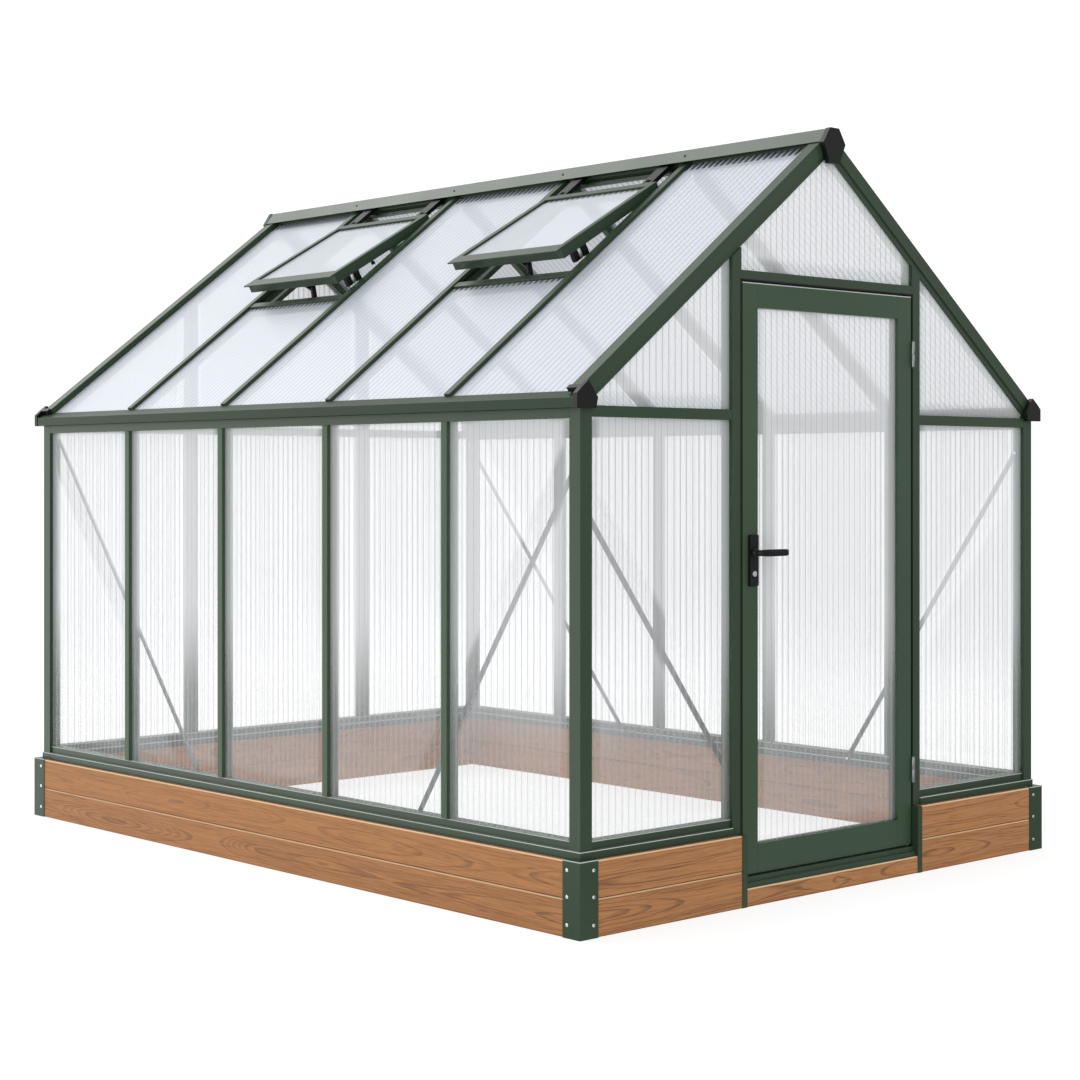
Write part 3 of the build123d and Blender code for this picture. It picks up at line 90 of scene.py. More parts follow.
# Braces
FRONT_BRACE = ((-1.588, 1.500), (-0.773, 0.2632))  # ends of the side walls' braces, along the house and up
REAR_BRACE = ((1.588, 1.562), (0.527, 0.2632))
WALL_BRACES = {1: FRONT_BRACE, 2: FRONT_BRACE, 4: REAR_BRACE, 5: REAR_BRACE}  # by bay
GABLE_BRACE = ((-1.143, -HALF_LENGTH, 1.350), (-0.473, -HALF_LENGTH, 0.4502))

# Base
PLANK_HEIGHT = 0.1181
THRESHOLD_HEIGHT = 0.060
PLANK_CHAMFER = 0.004
BASE_FACES = (1.205, 1.650)  # outer faces of the planks, X and Y
BRACKET_FACES = (1.208, 1.653)
BOLT_INSET = 0.057  # in from a bracket's corner
BOLT_LEVELS = (0.041, 0.127, 0.209)
SILL_EDGES = (0.2632, 0.2902)  # upper edges of the sills' lip and of the sills

# Door
LEAF_HALF = 0.445
LEAF_LEVELS = (0.101, 2.051)
DOOR_GAP = 0.006
POST_FOOT = 0.2367
HINGE_LEVELS = ((0.318, 0.416), (1.797, 1.895))
HANDLE = (-0.397, 1.159)  # the lever's axis, X and Z
BACKPLATE_FACES = (-1.634, -1.576)  # outer and inner, Y

# Sheets
SHEET_GRIP = 0.010  # how far a sheet reaches into its groove
SHEET_DEPTH = 0.0193  # outer face of the frame to the middle of a sheet
SHEET_THICKNESS = 0.010
SKIN_STEP = 0.001  # tells the outer skin from the inner one
GROOVE_HALF = 0.0016  # half of the groove over a web
SIDE_MARGIN = 0.0005  # no point of a rib is nearer to the sheet's side
FLUTE_SHADE = (0.005, 0.008)  # half of the painted shade in a flute's end, and where it has faded
CLEAR_REACH = (0.034, 0.068)  # so near to a post, the sill or a brace an upright sheet is clearer
MILKY_LEVELS = (0.48, 0.98)  # an upright sheet is clear below the first height and milky above the second
FAR = 1.0  # stands for nothing near by
# a roof sheet whose flute ends get no painted shade
NO_FLUTE_SHADE = -1.0

# Grain of the planks
PLANK_SEEDS = (7.31, 3.7, 1.9)  # tell planks apart by course, by side of the house and by half of a gable
HEART_DEPTH = 0.004  # least distance from a plank's face to the heart of its rings
HEART_TAPER = 0.006  # how much deeper the heart gets along each metre
HEART_START = 1.7  # where that begins, from the middle of the house
HEART_WANDER = 0.074  # how far the heart wanders in depth, and up and down
HEART_DRIFT = 0.08
RING_RIPPLE = 0.0022

# Finishes
COAT_GLOSS = 0.22
COAT_RANGE = (0.78, 1.26)  # darkest and palest coat, as shares of its colour
HIGHLIGHT_FOOT = (-0.0036, -0.0028)  # a painted highlight along an upper edge fades in and out between these heights over its own level
HIGHLIGHT_TOP = (0.0002, 0.0006)
DRAWN_UP = (260.0, 260.0, 40.0)  # scale of a plate's drawn texture, upright, along the braces or even
DRAWN_ALONG = (60.0, 260.0, 40.0)
DRAWN_EVEN = (90.0, 90.0, 90.0)
WELD_DISTANCE = 0.00001
EDGE_SEGMENTS = 2
SHARP_ANGLE = radians(40)

# Studio
STUDIO_LEAN = (-0.80, 0.60, 0.0)  # reflections are brighter towards this side of the studio
LEAST_SKY = 0.8  # in reflections
GLOW_REACH = 3.0  # how far either side of the middle the reflected floor changes
GLOW_PEAK = (2.7, 2.7, 2.7)  # the reflected floor at its brightest
BLACK = (0.0, 0.0, 0.0)
WHITE = (1.0, 1.0, 1.0)
FLOOR_REACH = 60.0
FLOOR_DROP = 0.0005  # keeps the floor clear of the planks' feet
KEY_FROM = (-0.14, 0.70, 0.70)
KEY_SPREAD = radians(25)
SENSOR_WIDTH = 36.0


class CoatSettings(bpy.types.PropertyGroup):
    """Powder coat of the frame."""

    colour: FloatVectorProperty(
        name="Coat", description="Colour of the coated frame", subtype="COLOR", default=(0.0245, 0.0455, 0.0245)
    )
    # Colour of the painted highlight along the coat's upper edges
    edge: FloatVectorProperty(
        name="Painted edge highlight", description="Painted highlight along upper edges", subtype="COLOR", default=(0.52, 0.58, 0.54)
    )
    edge_radius: FloatProperty(
        name="Edge radius", description="Rounding of the sections' edges", unit="LENGTH", default=0.0012
    )


class TimberSettings(bpy.types.PropertyGroup):
    """Planks of the base."""

    light: FloatVectorProperty(
        name="Early wood", description="Pale part of the grain", subtype="COLOR", default=(0.385, 0.176, 0.067)
    )
    dark: FloatVectorProperty(
        name="Late wood", description="Dark part of the grain", subtype="COLOR", default=(0.140, 0.058, 0.023)
    )
    ring_spacing: FloatProperty(
        name="Ring spacing", description="Distance between growth rings", unit="LENGTH", default=0.0034
    )
    # Colour of the painted highlight on the planks' upper chamfers
    edge: FloatVectorProperty(
        name="Edges", description="Painted highlight along the upper edges", subtype="COLOR", default=(0.74, 0.50, 0.30)
    )


class SheetSettings(bpy.types.PropertyGroup):
    """Twin-wall sheets."""

    wall_tint: FloatVectorProperty(
        name="Wall tint", description="Colour of the upright sheets", subtype="COLOR", default=(0.89, 0.90, 0.915)
    )
    roof_tint: FloatVectorProperty(
        name="Roof tint", description="Colour of the roof's sheets", subtype="COLOR", default=(0.605, 0.65, 0.71)
    )
    rib: FloatVectorProperty(
        name="Rib tint", description="Colour along the webs", subtype="COLOR", default=(0.40, 0.43, 0.46)
    )
    roof_rib: FloatVectorProperty(
        name="Roof rib tint", description="Colour along the roof's webs", subtype="COLOR", default=(0.30, 0.34, 0.39)
    )
    wall_veil: FloatProperty(
        name="Wall veil", description="How much an upright sheet covers", subtype="FACTOR", default=0.54
    )
    roof_veil: FloatProperty(
        name="Roof veil", description="How much a roof sheet covers", subtype="FACTOR", default=0.68
    )
    foot_veil: FloatProperty(
        name="Foot veil", description="How much an upright sheet covers low down", subtype="FACTOR", default=0.17
    )
    clearing: FloatProperty(
        name="Clearing", description="How much less a sheet covers posts and braces", subtype="FACTOR", default=0.46
    )
    shade: FloatProperty(
        name="Shade", description="How much of the rib tint lies between the webs", subtype="FACTOR", default=0.10
    )
    roof_shade: FloatProperty(
        name="Roof shade", description="How much of it lies between the roof's webs", subtype="FACTOR", default=0.34
    )
    rib_pitch: FloatProperty(name="Rib pitch", description="Web to web", unit="LENGTH", default=0.029)
    rib_width: FloatProperty(name="Rib width", description="Width of a web's line", unit="LENGTH", default=0.0066)
    groove: FloatProperty(name="Groove", description="Dip of the skin over a web", unit="LENGTH", default=0.0002)
    # Length of the painted shade in the flutes beside a covered end
    flute_shade_length: FloatProperty(name="Painted flute shade", description="Length of the painted shade in the flute ends", unit="LENGTH", default=0.022)


class FittingSettings(bpy.types.PropertyGroup):
    """Bolts, handle and other small fittings."""

    head_radius: FloatProperty(name="Bolt head", description="Radius of a dome head", unit="LENGTH", default=0.006)
    head_height: FloatProperty(name="Head height", description="Height of a dome head", unit="LENGTH", default=0.004)
    socket_flat: FloatProperty(
        name="Socket", description="Half of the hex socket across its flats", unit="LENGTH", default=0.0022
    )
    screw_radius: FloatProperty(name="Screw", description="Radius of a ridge screw", unit="LENGTH", default=0.005)
    round_steps: IntProperty(name="Round steps", description="Sides of a round fitting", default=24)
    steel_edge: FloatProperty(name="Steel edge", description="Rounding of steel edges", unit="LENGTH", default=0.0003)
    plastic_edge: FloatProperty(
        name="Plastic edge", description="Rounding of moulded edges", unit="LENGTH", default=0.0015
    )
    steel: FloatVectorProperty(
        name="Steel", description="Bright plated bolts and locks", subtype="COLOR", default=(0.72, 0.74, 0.75)
    )
    hinge_steel: FloatVectorProperty(
        name="Hinge steel", description="Satin plated hinges", subtype="COLOR", default=(0.32, 0.32, 0.33)
    )
    brace_zinc: FloatVectorProperty(
        name="Brace zinc", description="Dull plated braces", subtype="COLOR", default=(0.048, 0.058, 0.054)
    )
    # Dark steel painted into the sockets of the dome heads as their shade
    socket: FloatVectorProperty(
        name="Painted socket shade", description="Inside of a bolt's socket", subtype="COLOR", default=(0.05, 0.05, 0.055)
    )
    plastic: FloatVectorProperty(
        name="Plastic", description="Black moulded parts", subtype="COLOR", default=(0.0040, 0.0044, 0.0048)
    )
    rubber: FloatVectorProperty(
        name="Rubber", description="Black seal", subtype="COLOR", default=(0.0022, 0.0023, 0.0024)
    )


class StageSettings(bpy.types.PropertyGroup):
    """Camera, floor and light."""

    camera_place: FloatVectorProperty(
        name="Camera", description="Where it stands", subtype="TRANSLATION", default=(-5.6842, -6.3693, 1.4116)
    )
    camera_turn: FloatProperty(
        name="Heading", description="Turn of the camera about the vertical", subtype="ANGLE", default=radians(-42.435)
    )
    lens: FloatProperty(name="Lens", description="Focal length in millimetres", default=71.43)
    shift: FloatProperty(name="Shift", description="Upright shift of the picture", default=-0.0590)
    sky: FloatProperty(name="Sky", description="Strength of the even light", default=1.12)
    lean: FloatProperty(name="Lean", description="How much brighter the far left is in reflections", default=1.5)
    key: FloatProperty(name="Softbox", description="Strength of the soft key light", default=0.8)
    floor: FloatVectorProperty(
        name="Floor colour", description="Colour of the plain floor", subtype="COLOR", default=(0.30, 0.30, 0.30)
    )
    glow: FloatProperty(name="Floor glow", description="Light from under the floor", default=0.74)


class Value:
    """A shader socket. Arithmetic on it adds Math nodes to its finish."""

    def __init__(self, finish, socket):
        self.finish = finish
        self.socket = socket

    def maths(self, operation, *terms):
        return self.finish.add("ShaderNodeMath", {"operation": operation}, dict(enumerate(terms)))

    def __add__(self, other):
        return self.maths("ADD", self, other)

    def __sub__(self, other):
        return self.maths("SUBTRACT", self, other)

    def __rsub__(self, other):
        return self.maths("SUBTRACT", other, self)

    def __mul__(self, other):
        return self.maths("MULTIPLY", self, other)

    def __truediv__(self, other):
        return self.maths("DIVIDE", self, other)

    def __rtruediv__(self, other):
        return self.maths("DIVIDE", other, self)

    def __pow__(self, other):
        return self.maths("POWER", self, other)

    def __abs__(self):
        return self.maths("ABSOLUTE", self)

    __radd__ = __add__
    __rmul__ = __mul__

    def at_least(self, low):
        return self.maths("MAXIMUM", self, low)

    def at_most(self, high):
        return self.maths("MINIMUM", self, high)

    def floor(self):
        return self.maths("FLOOR", self)

    def fraction(self):
        return self.maths("FRACT", self)

    def sign(self):
        return self.maths("SIGN", self)

    def smooth(self, low, high):
        """0 below low and 1 above high, with a soft step between."""
        values = {"Value": self, "From Min": low, "From Max": high}
        return self.finish.add("ShaderNodeMapRange", {"interpolation_type": "SMOOTHSTEP"}, values)

    def fade(self, low, high):
        """1 below low and 0 above high."""
        return 1.0 - self.smooth(low, high)

    def swing(self, amount):
        """How far a noise swings about its middle."""
        return (self - 0.5) * amount


class Nodes:
    """The nodes of a material or of the sky."""

    def __init__(self, tree):
        self.tree = tree

    def add(self, kind, settings=None, inputs=None, output=0):
        """Adds one node: its settings first, then the values or links of its sockets."""
        node = self.tree.nodes.new(kind)
        for name, setting in (settings or {}).items():
            setattr(node, name, setting)
        self.fill(node, inputs or {})
        return Value(self, node.outputs[output])

    def fill(self, node, inputs):
        """Links or sets sockets of a node."""
        for key, value in inputs.items():
            if isinstance(value, Value):
                self.tree.links.new(value.socket, node.inputs[key])
            else:
                node.inputs[key].default_value = value

    def lean(self, vector):
        """How far a place or a direction is towards the bright side of the studio."""
        return self.add("ShaderNodeVectorMath", {"operation": "DOT_PRODUCT"}, {0: vector, 1: STUDIO_LEAN}, "Value")

    def reflected(self):
        """1 in reflections and 0 elsewhere."""
        return self.add("ShaderNodeLightPath", output="Is Glossy Ray")


class Finish(Nodes):
    """A material made from nodes."""

    def __init__(self, name):
        self.material = bpy.data.materials.new(name)
        self.material.use_nodes = True
        super().__init__(self.material.node_tree)
        self.surface_node = self.tree.nodes["Principled BSDF"]

    def split(self, vector):
        """The three numbers of a vector."""
        first = self.add("ShaderNodeSeparateXYZ", None, {"Vector": vector})
        return [Value(self, socket) for socket in first.socket.node.outputs]

    def place(self):
        """Where a point is on its piece, in metres."""
        return self.add("ShaderNodeTexCoord", output="Object")

    def noted(self, name, output="Fac"):
        """A value that is kept at a piece's points."""
        return self.add("ShaderNodeAttribute", {"attribute_name": name}, output=output)

    def stretched(self, vector, scale):
        return self.add("ShaderNodeVectorMath", {"operation": "MULTIPLY"}, {0: vector, 1: scale})

    def vector(self, x, y, z):
        return self.add("ShaderNodeCombineXYZ", None, {"X": x, "Y": y, "Z": z})

    def noise(self, vector, scale=1.0, detail=2.0, roughness=0.5):
        values = {"Vector": vector, "Scale": scale, "Detail": detail, "Roughness": roughness}
        return self.add("ShaderNodeTexNoise", None, values)

    def blend(self, factor, first, second):
        """Mixes two colours."""
        first, second = (c if isinstance(c, Value) else (*c, 1.0) for c in (first, second))
        return self.add("ShaderNodeMix", {"data_type": "RGBA"}, {0: factor, 6: first, 7: second}, 2)

    def bump(self, height, strength, distance):
        values = {"Height": height, "Strength": strength, "Distance": distance}
        return self.add("ShaderNodeBump", None, values)

    def surface(self, **inputs):
        """Sets the shader's sockets. An underscore stands for a space."""
        self.fill(self.surface_node, {name.replace("_", " "): value for name, value in inputs.items()})
        return self.material


def darker(colour, amount):
    return tuple(channel * amount for channel in colour)


def powder_coat(name, look, edges=(), tone=1.0, gloss=COAT_GLOSS):
    """Satin coat with a fine orange peel and slightly uneven gloss, with a painted highlight along upper edges at
    given levels.
    """
    finish = Finish(name)
    place = finish.place()
    cloud = finish.noise(place, scale=2.3, detail=3.0)
    speck = finish.noise(place, scale=420.0, detail=2.0)
    peel = finish.noise(place, scale=900.0, detail=1.0)
    # A tone above 1 paints a paler copy of the coat as if lit, and one below 1 a darker copy as if shaded
    dark, pale = (darker(look.colour, share * tone) for share in COAT_RANGE)
    colours = finish.blend(cloud.swing(0.5) + speck.swing(0.35) + 0.5, dark, pale)
    level = finish.split(place)[2]
    rise = finish.split(finish.add("ShaderNodeTexCoord", output="Normal"))[2]
    upright = abs(rise).fade(0.70, 0.95)
    # Painted highlight: upper edges of upright faces are painted pale, with an uneven strength, where they would
    # catch the light
    highlight_strength = 0.45 + cloud * 0.6
    for edge in edges:
        above = level - edge
        painted_highlight = above.smooth(*HIGHLIGHT_FOOT) * above.fade(*HIGHLIGHT_TOP) * upright
        colours = finish.blend(painted_highlight * highlight_strength, colours, look.edge)
    return finish.surface(
        Base_Color=colours,
        Roughness=0.36 + cloud.swing(0.12) + speck.swing(0.08),
        Specular_IOR_Level=gloss,
        Normal=finish.bump(peel, strength=0.10, distance=0.0004),
    )


def sawn_timber(name, run, height, look):
    """Oiled planks sawn lengthwise, with long arches of grain. They run along X (0) or Y (1)."""
    finish = Finish(name)
    axes = finish.split(finish.place())
    length, side, level = axes[run], axes[1 - run], axes[2]
    course = (level / height).floor()
    across = level - (course + 0.5) * height
    depth = BASE_FACES[1 - run] - abs(side)
    by_course, by_side, by_half = PLANK_SEEDS
    seed = course * by_course + side.sign() * by_side
    if run == 0:
        seed = seed + length.sign() * by_half

    def bend(along, row):
        """Slow noise along a plank."""
        return finish.noise(finish.vector(length * along, seed, row), detail=1.0)

    def streaks(along, over, detail, start=0.0, roughness=0.5):
        """Noise drawn out along a plank, with its scales along it and over its section."""
        drawn = finish.vector(length * along, across * over, start + side * over)
        return finish.noise(drawn, detail=detail, roughness=roughness)

    # Rings round a heart that wanders behind the face
    heading = ((seed * 0.618).fraction() - 0.5).sign()
    wander, drift = bend(1.25, row=0.0), bend(0.8, row=5.0)
    ripple = finish.noise(finish.vector(length * 7.0, across * 50.0, seed), detail=3.0)
    heart = HEART_DEPTH + (length * heading + HEART_START) * HEART_TAPER + wander * HEART_WANDER + depth
    above = across + drift.swing(HEART_DRIFT)
    radius = (heart * heart + above * above) ** 0.5 + ripple * RING_RIPPLE
    rings = radius / look.ring_spacing
    ring = rings.fraction()
    weight = finish.noise(finish.vector(rings.floor() * 1.7, seed, 9.0), detail=0.0)
    late = (ring.smooth(0.25, 0.80) - ring.smooth(0.88, 1.0)) * weight.smooth(0.32, 0.66)

    # Fibres and a tone for each plank
    fibre = streaks(along=7.0, over=900.0, detail=3.0, roughness=0.6)
    streak = streaks(along=4.0, over=240.0, detail=3.0, start=seed)
    dash = streaks(along=13.0, over=330.0, detail=2.0, start=seed).smooth(0.52, 0.74)
    board = (seed * 0.37).fraction()
    grain = late * 0.58 + dash * 0.42 + fibre.swing(0.7) + streak.swing(1.4) + board * 0.10 + 0.06
    tone = finish.blend(grain, look.light, look.dark)

    # Painted highlight on the upper chamfers and painted shade on the lower ones
    on_chamfer = depth.fade(PLANK_CHAMFER, PLANK_CHAMFER + 0.0006)
    edge = [height / 2 - PLANK_CHAMFER + off for off in (-0.0004, 0.0008)]
    tone = finish.blend(across.smooth(*edge) * on_chamfer * (0.75 + fibre * 0.3), tone, look.edge)
    # painted shade on the lower chamfer, as in the groove between planks
    tone = finish.blend((0.0 - across).smooth(*edge) * on_chamfer * 0.8, tone, darker(look.dark, 0.4))
    return finish.surface(
        Base_Color=tone,
        Roughness=0.62 - late * 0.12 + fibre.swing(0.2),
        Specular_IOR_Level=0.2,
        Normal=finish.bump(fibre * 0.6 - late * 0.4, strength=0.30, distance=0.0005),
    )


def twin_wall(name, tint, rib, spread, veil, look):
    """Milky ribbed sheet: two thin skins, a grey line along each web, painted shade in the flutes beside a covered
    end.

    Upright sheets are clearer low down and over what is right behind them: posts, sill and braces.
    """
    finish = Finish(name)
    place = finish.place()
    across, _, depth = finish.split(place)
    from_web = abs((across / look.rib_pitch + 0.5).fraction() - 0.5) * look.rib_pitch
    outer = depth.smooth(0.0, SKIN_STEP)
    line = from_web.fade(look.rib_width * 0.12, look.rib_width * 0.5) * outer
    shade = from_web.fade(look.rib_width * 0.4, look.rib_pitch * 0.4) * outer
    haze = finish.noise(finish.stretched(place, (1.7, 0.6, 1.0)), detail=2.0)
    from_side, from_foot, from_brace = finish.split(finish.noted("margins", "Vector"))
    near = from_side.at_most(from_foot).at_most(abs(from_brace)).fade(*CLEAR_REACH)
    milky = (finish.noted("level") + haze.swing(0.2)).smooth(*MILKY_LEVELS)
    cover = (look.foot_veil + milky * (veil - look.foot_veil)) * (1.0 - near * look.clearing)
    # Painted shade: the flutes are darkened and made less clear beside the covered upper end
    painted_flute_shade = finish.noted("from_edge").fade(look.flute_shade_length * 0.45, look.flute_shade_length) * from_web.fade(*FLUTE_SHADE) * outer
    tone = finish.blend(line * 0.85 + shade * spread, tint, rib)
    return finish.surface(
        Base_Color=finish.blend(painted_flute_shade, tone, darker(look.rib, 0.10)),
        Roughness=0.30 + line * 0.2 + haze.swing(0.1),
        Alpha=0.05 + outer * (cover + haze.swing(0.10)) + line * 0.26 + shade * 0.05 + painted_flute_shade * 0.3,
    )


def moulded_black(name, colour):
    """Black plastic with a fine spark texture."""
    finish = Finish(name)
    place = finish.place()
    grain = finish.noise(place, scale=650.0, detail=2.0)
    cloud = finish.noise(place, scale=14.0, detail=2.0)
    return finish.surface(
        Base_Color=finish.blend(cloud, darker(colour, 0.7), darker(colour, 1.35)),
        Roughness=0.42 + grain.swing(0.2) + cloud.swing(0.1),
        Specular_IOR_Level=0.2,
        Normal=finish.bump(grain, strength=0.18, distance=0.0003),
    )


def zinc_plate(name, colour, stretch):
    """Plated steel, drawn along one direction."""
    finish = Finish(name)
    place = finish.place()
    drawn = finish.noise(finish.stretched(place, stretch), detail=3.0)
    cloud = finish.noise(place, scale=25.0, detail=3.0)
    return finish.surface(
        Base_Color=finish.blend(drawn * 0.6 + cloud * 0.4, darker(colour, 0.72), colour),
        Roughness=0.30 + drawn.swing(0.22) + cloud.swing(0.15),
        Metallic=0.92 - cloud * 0.1,
        Normal=finish.bump(drawn, strength=0.08, distance=0.0002),
    )


def floor_paint(look):
    """Plain pale floor, lit from under it. Its reflection brightens to one side, as the sky's does."""
    finish = Finish("pale_floor")
    place = finish.place()
    cloud = finish.noise(place, scale=0.7, detail=2.0)
    leaning = finish.blend(finish.lean(place).smooth(-GLOW_REACH, GLOW_REACH), BLACK, GLOW_PEAK)
    return finish.surface(
        Base_Color=finish.blend(cloud, darker(look.floor, 0.99), look.floor),
        Roughness=0.9,
        Specular_IOR_Level=0.1,
        Emission_Color=finish.blend(finish.reflected(), WHITE, leaning),
        Emission_Strength=look.glow,
    )


def known_finish(name, make, *values):
    """A finish is made once and then shared."""
    return bpy.data.materials.get(name) or make(name, *values)


def coat(name, *edges, tone=1.0, gloss=COAT_GLOSS):
    """The frame's coat, with a painted highlight along upper edges at given levels, painted paler as if lit with a
    higher tone and darker as if shaded with a lower one.
    """
    return known_finish(name, powder_coat, bpy.context.scene.greenhouse_coat, edges, tone, gloss)


def green_coat():
    return coat("green_powder_coat")


def fittings():
    return bpy.context.scene.greenhouse_fittings


def black_plastic():
    return known_finish("black_moulded_plastic", moulded_black, fittings().plastic)


def black_rubber():
    return known_finish("black_rubber", moulded_black, fittings().rubber)


# The sockets of dome heads get this dark steel as painted shade
def dark_socket():
    return known_finish("dark_socket", zinc_plate, fittings().socket, DRAWN_EVEN)


def dull_zinc():
    return known_finish("dull_zinc", zinc_plate, fittings().brace_zinc, DRAWN_ALONG)


def satin_steel():
    return known_finish("satin_zinc", zinc_plate, fittings().hinge_steel, DRAWN_UP)


def bright_steel():
    return known_finish("bright_zinc", zinc_plate, fittings().steel, DRAWN_UP)


def dress(names, material, radius=0.0):
    """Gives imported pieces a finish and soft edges."""
    for name in names:
        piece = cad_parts[name]
        if not piece.material_slots:
            piece.data.materials.append(material)
        for each in piece.material_slots:
            each.material = material
        if radius:
            weld = piece.modifiers.new("joined_corners", "WELD")
            weld.merge_threshold = WELD_DISTANCE
            bevel = piece.modifiers.new("soft_edges", "BEVEL")
            bevel.width = radius
            bevel.segments = EDGE_SEGMENTS
            bevel.limit_method = "ANGLE"
            bevel.angle_limit = SHARP_ANGLE
            bevel.harden_normals = True


def add_piece(name, points, faces, materials, body, place=None, face_materials=None, smooth=False):
    """A mesh that moves with a body."""
    mesh = bpy.data.meshes.new(name)
    mesh.from_pydata(points, [], faces)
    for material in materials:
        mesh.materials.append(material)
    if face_materials:
        mesh.polygons.foreach_set("material_index", face_materials)
    mesh.polygons.foreach_set("use_smooth", [smooth] * len(mesh.polygons))
    mesh.update()
    piece = bpy.data.objects.new(name, mesh)
    bpy.context.scene.collection.objects.link(piece)
    if place:
        piece.matrix_world = place
    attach(piece, body)
    return piece


def placed(origin, across, along):
    """A local frame: X across, Y along and Z out of the plane of the two."""
    across, along = Vector(across).normalized(), Vector(along).normalized()
    out = across.cross(along)
    turn = Matrix((across, along, out)).transposed().to_4x4()
    return Matrix.Translation(Vector(origin)) @ turn


def sheet_stations(half, kinks, look):
    """Where a sheet's section has points, from side to side, and its thickness there as a share of the whole."""
    stations = dict.fromkeys((-half, half, *kinks), 1.0)
    pitch = look.rib_pitch
    dipped = 1.0 - look.groove / (SHEET_THICKNESS / 2)
    webs = int(half / pitch)
    for number in range(-webs, webs + 1):
        web = number * pitch
        for offset, share in ((-GROOVE_HALF, 1.0), (0.0, dipped), (GROOVE_HALF, 1.0), (pitch / 2, 1.0)):
            if abs(web + offset) < half - SIDE_MARGIN:
                stations[web + offset] = share
    return sorted(stations.items())


def sheet_finish(body, cover, look):
    """Upright sheets, the roof's own and the vents' differ in tint, ribs and veil."""
    if cover is None:
        return known_finish("wall_sheet", twin_wall, look.wall_tint, look.rib, look.shade, look.wall_veil, look)
    name, rib, shade = "vent_sheet", look.rib, look.shade
    if body == "house":
        name, rib, shade = "roof_sheet", look.roof_rib, look.roof_shade
    return known_finish(name, twin_wall, look.roof_tint, rib, shade, look.roof_veil, look)


def note(piece, name, kind, field, values):
    """Keeps a value at each of a piece's points, for its finish."""
    piece.data.attributes.new(name, kind, "POINT").data.foreach_set(field, values)


def sheet(name, body, nodes, place, half, ends, kinks=(), cover=None, brace=None):
    """A ribbed sheet. ends(x) gives where it starts and stops along its flutes, brace the ends of a brace behind it.

    A roof sheet gives how much of its upper end is covered, because painted shade darkens its flutes beside that, or
    a negative number, for no painted shade.
    """
    look = bpy.context.scene.greenhouse_sheet
    points, from_edge = [], []
    for x, share in sheet_stations(half, kinks, look):
        low, high = ends(x)
        thick = SHEET_THICKNESS / 2 * share
        points += [(x, low, thick), (x, high, thick), (x, high, -thick), (x, low, -thick)]
        upper, lower = (FAR, FAR) if cover is None else (-cover, high - low - cover)
        from_edge += [lower, upper, upper, lower]
    faces = [(3, 2, 1, 0)]
    for first in range(0, len(points) - 4, 4):
        for edge in range(4):
            after = (edge + 1) % 4
            faces.append((first + edge, first + after, first + 4 + after, first + 4 + edge))
    faces.append(tuple(range(len(points) - 4, len(points))))
    material = sheet_finish(body, cover, look)
    piece = add_piece(name, points, [face[::-1] for face in faces], [material], body, place)

    spots = [place @ Vector(point) for point in points]
    margins = [FAR] * 3 * len(points)
    if cover is None:
        margins[0::3] = [half - abs(point[0]) for point in points]
        margins[1::3] = [spot.z - spots[0].z for spot in spots]
    if brace is not None:
        start, stop = map(Vector, brace)
        aside = (stop - start).normalized().cross(place.to_3x3().col[2])
        margins[2::3] = [(spot - start).dot(aside) for spot in spots]
    note(piece, "from_edge", "FLOAT", "value", from_edge)
    note(piece, "level", "FLOAT", "value", [spot.z for spot in spots])
    note(piece, "margins", "FLOAT_VECTOR", "vector", margins)
    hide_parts(*nodes)


def bay_run(bay):
    """Where the sheets of a bay start and stop along the house."""
    start = -HALF_LENGTH + BAY_PITCH * (bay - 1) + BAR_WIDTH / 2
    stop = -HALF_LENGTH + BAY_PITCH * bay - BAR_WIDTH / 2
    inside = HALF_LENGTH - FRAME_DEPTH
    return max(start, -inside) - SHEET_GRIP, min(stop, inside) + SHEET_GRIP


def roof_edge(x):
    """Top of the gable sheets at a distance from the middle."""
    return APEX - abs(x) * tan(ROOF_PITCH) - GABLE_TOP_DROP / cos(ROOF_PITCH)


def vent_hinge(bay):
    """Middle of a vent's hinge line."""
    return Vector((VENT_HINGE[0], -HALF_LENGTH + BAY_PITCH * (bay - 0.5), VENT_HINGE[1]))


def vent_down():
    """Direction down an open vent."""
    return Vector((-cos(VENT_PITCH), 0, -sin(VENT_PITCH)))


def vent_out():
    """Direction out of an open vent."""
    return Vector((-sin(VENT_PITCH), 0, cos(VENT_PITCH)))


class GREENHOUSE_OT_timber(bpy.types.Operator):
    """Finish the planks of the base"""

    bl_idname = "greenhouse.timber"
    bl_label = "Timber base"

    def execute(self, context):
        look = context.scene.greenhouse_timber
        dress(["base_planks_side"], sawn_timber("timber_along", 1, PLANK_HEIGHT, look))
        across = sawn_timber("timber_across", 0, PLANK_HEIGHT, look)
        dress(["base_planks_front", "base_planks_back"], across)
        dress(["threshold_plank"], sawn_timber("timber_threshold", 0, THRESHOLD_HEIGHT, look))
        return {"FINISHED"}


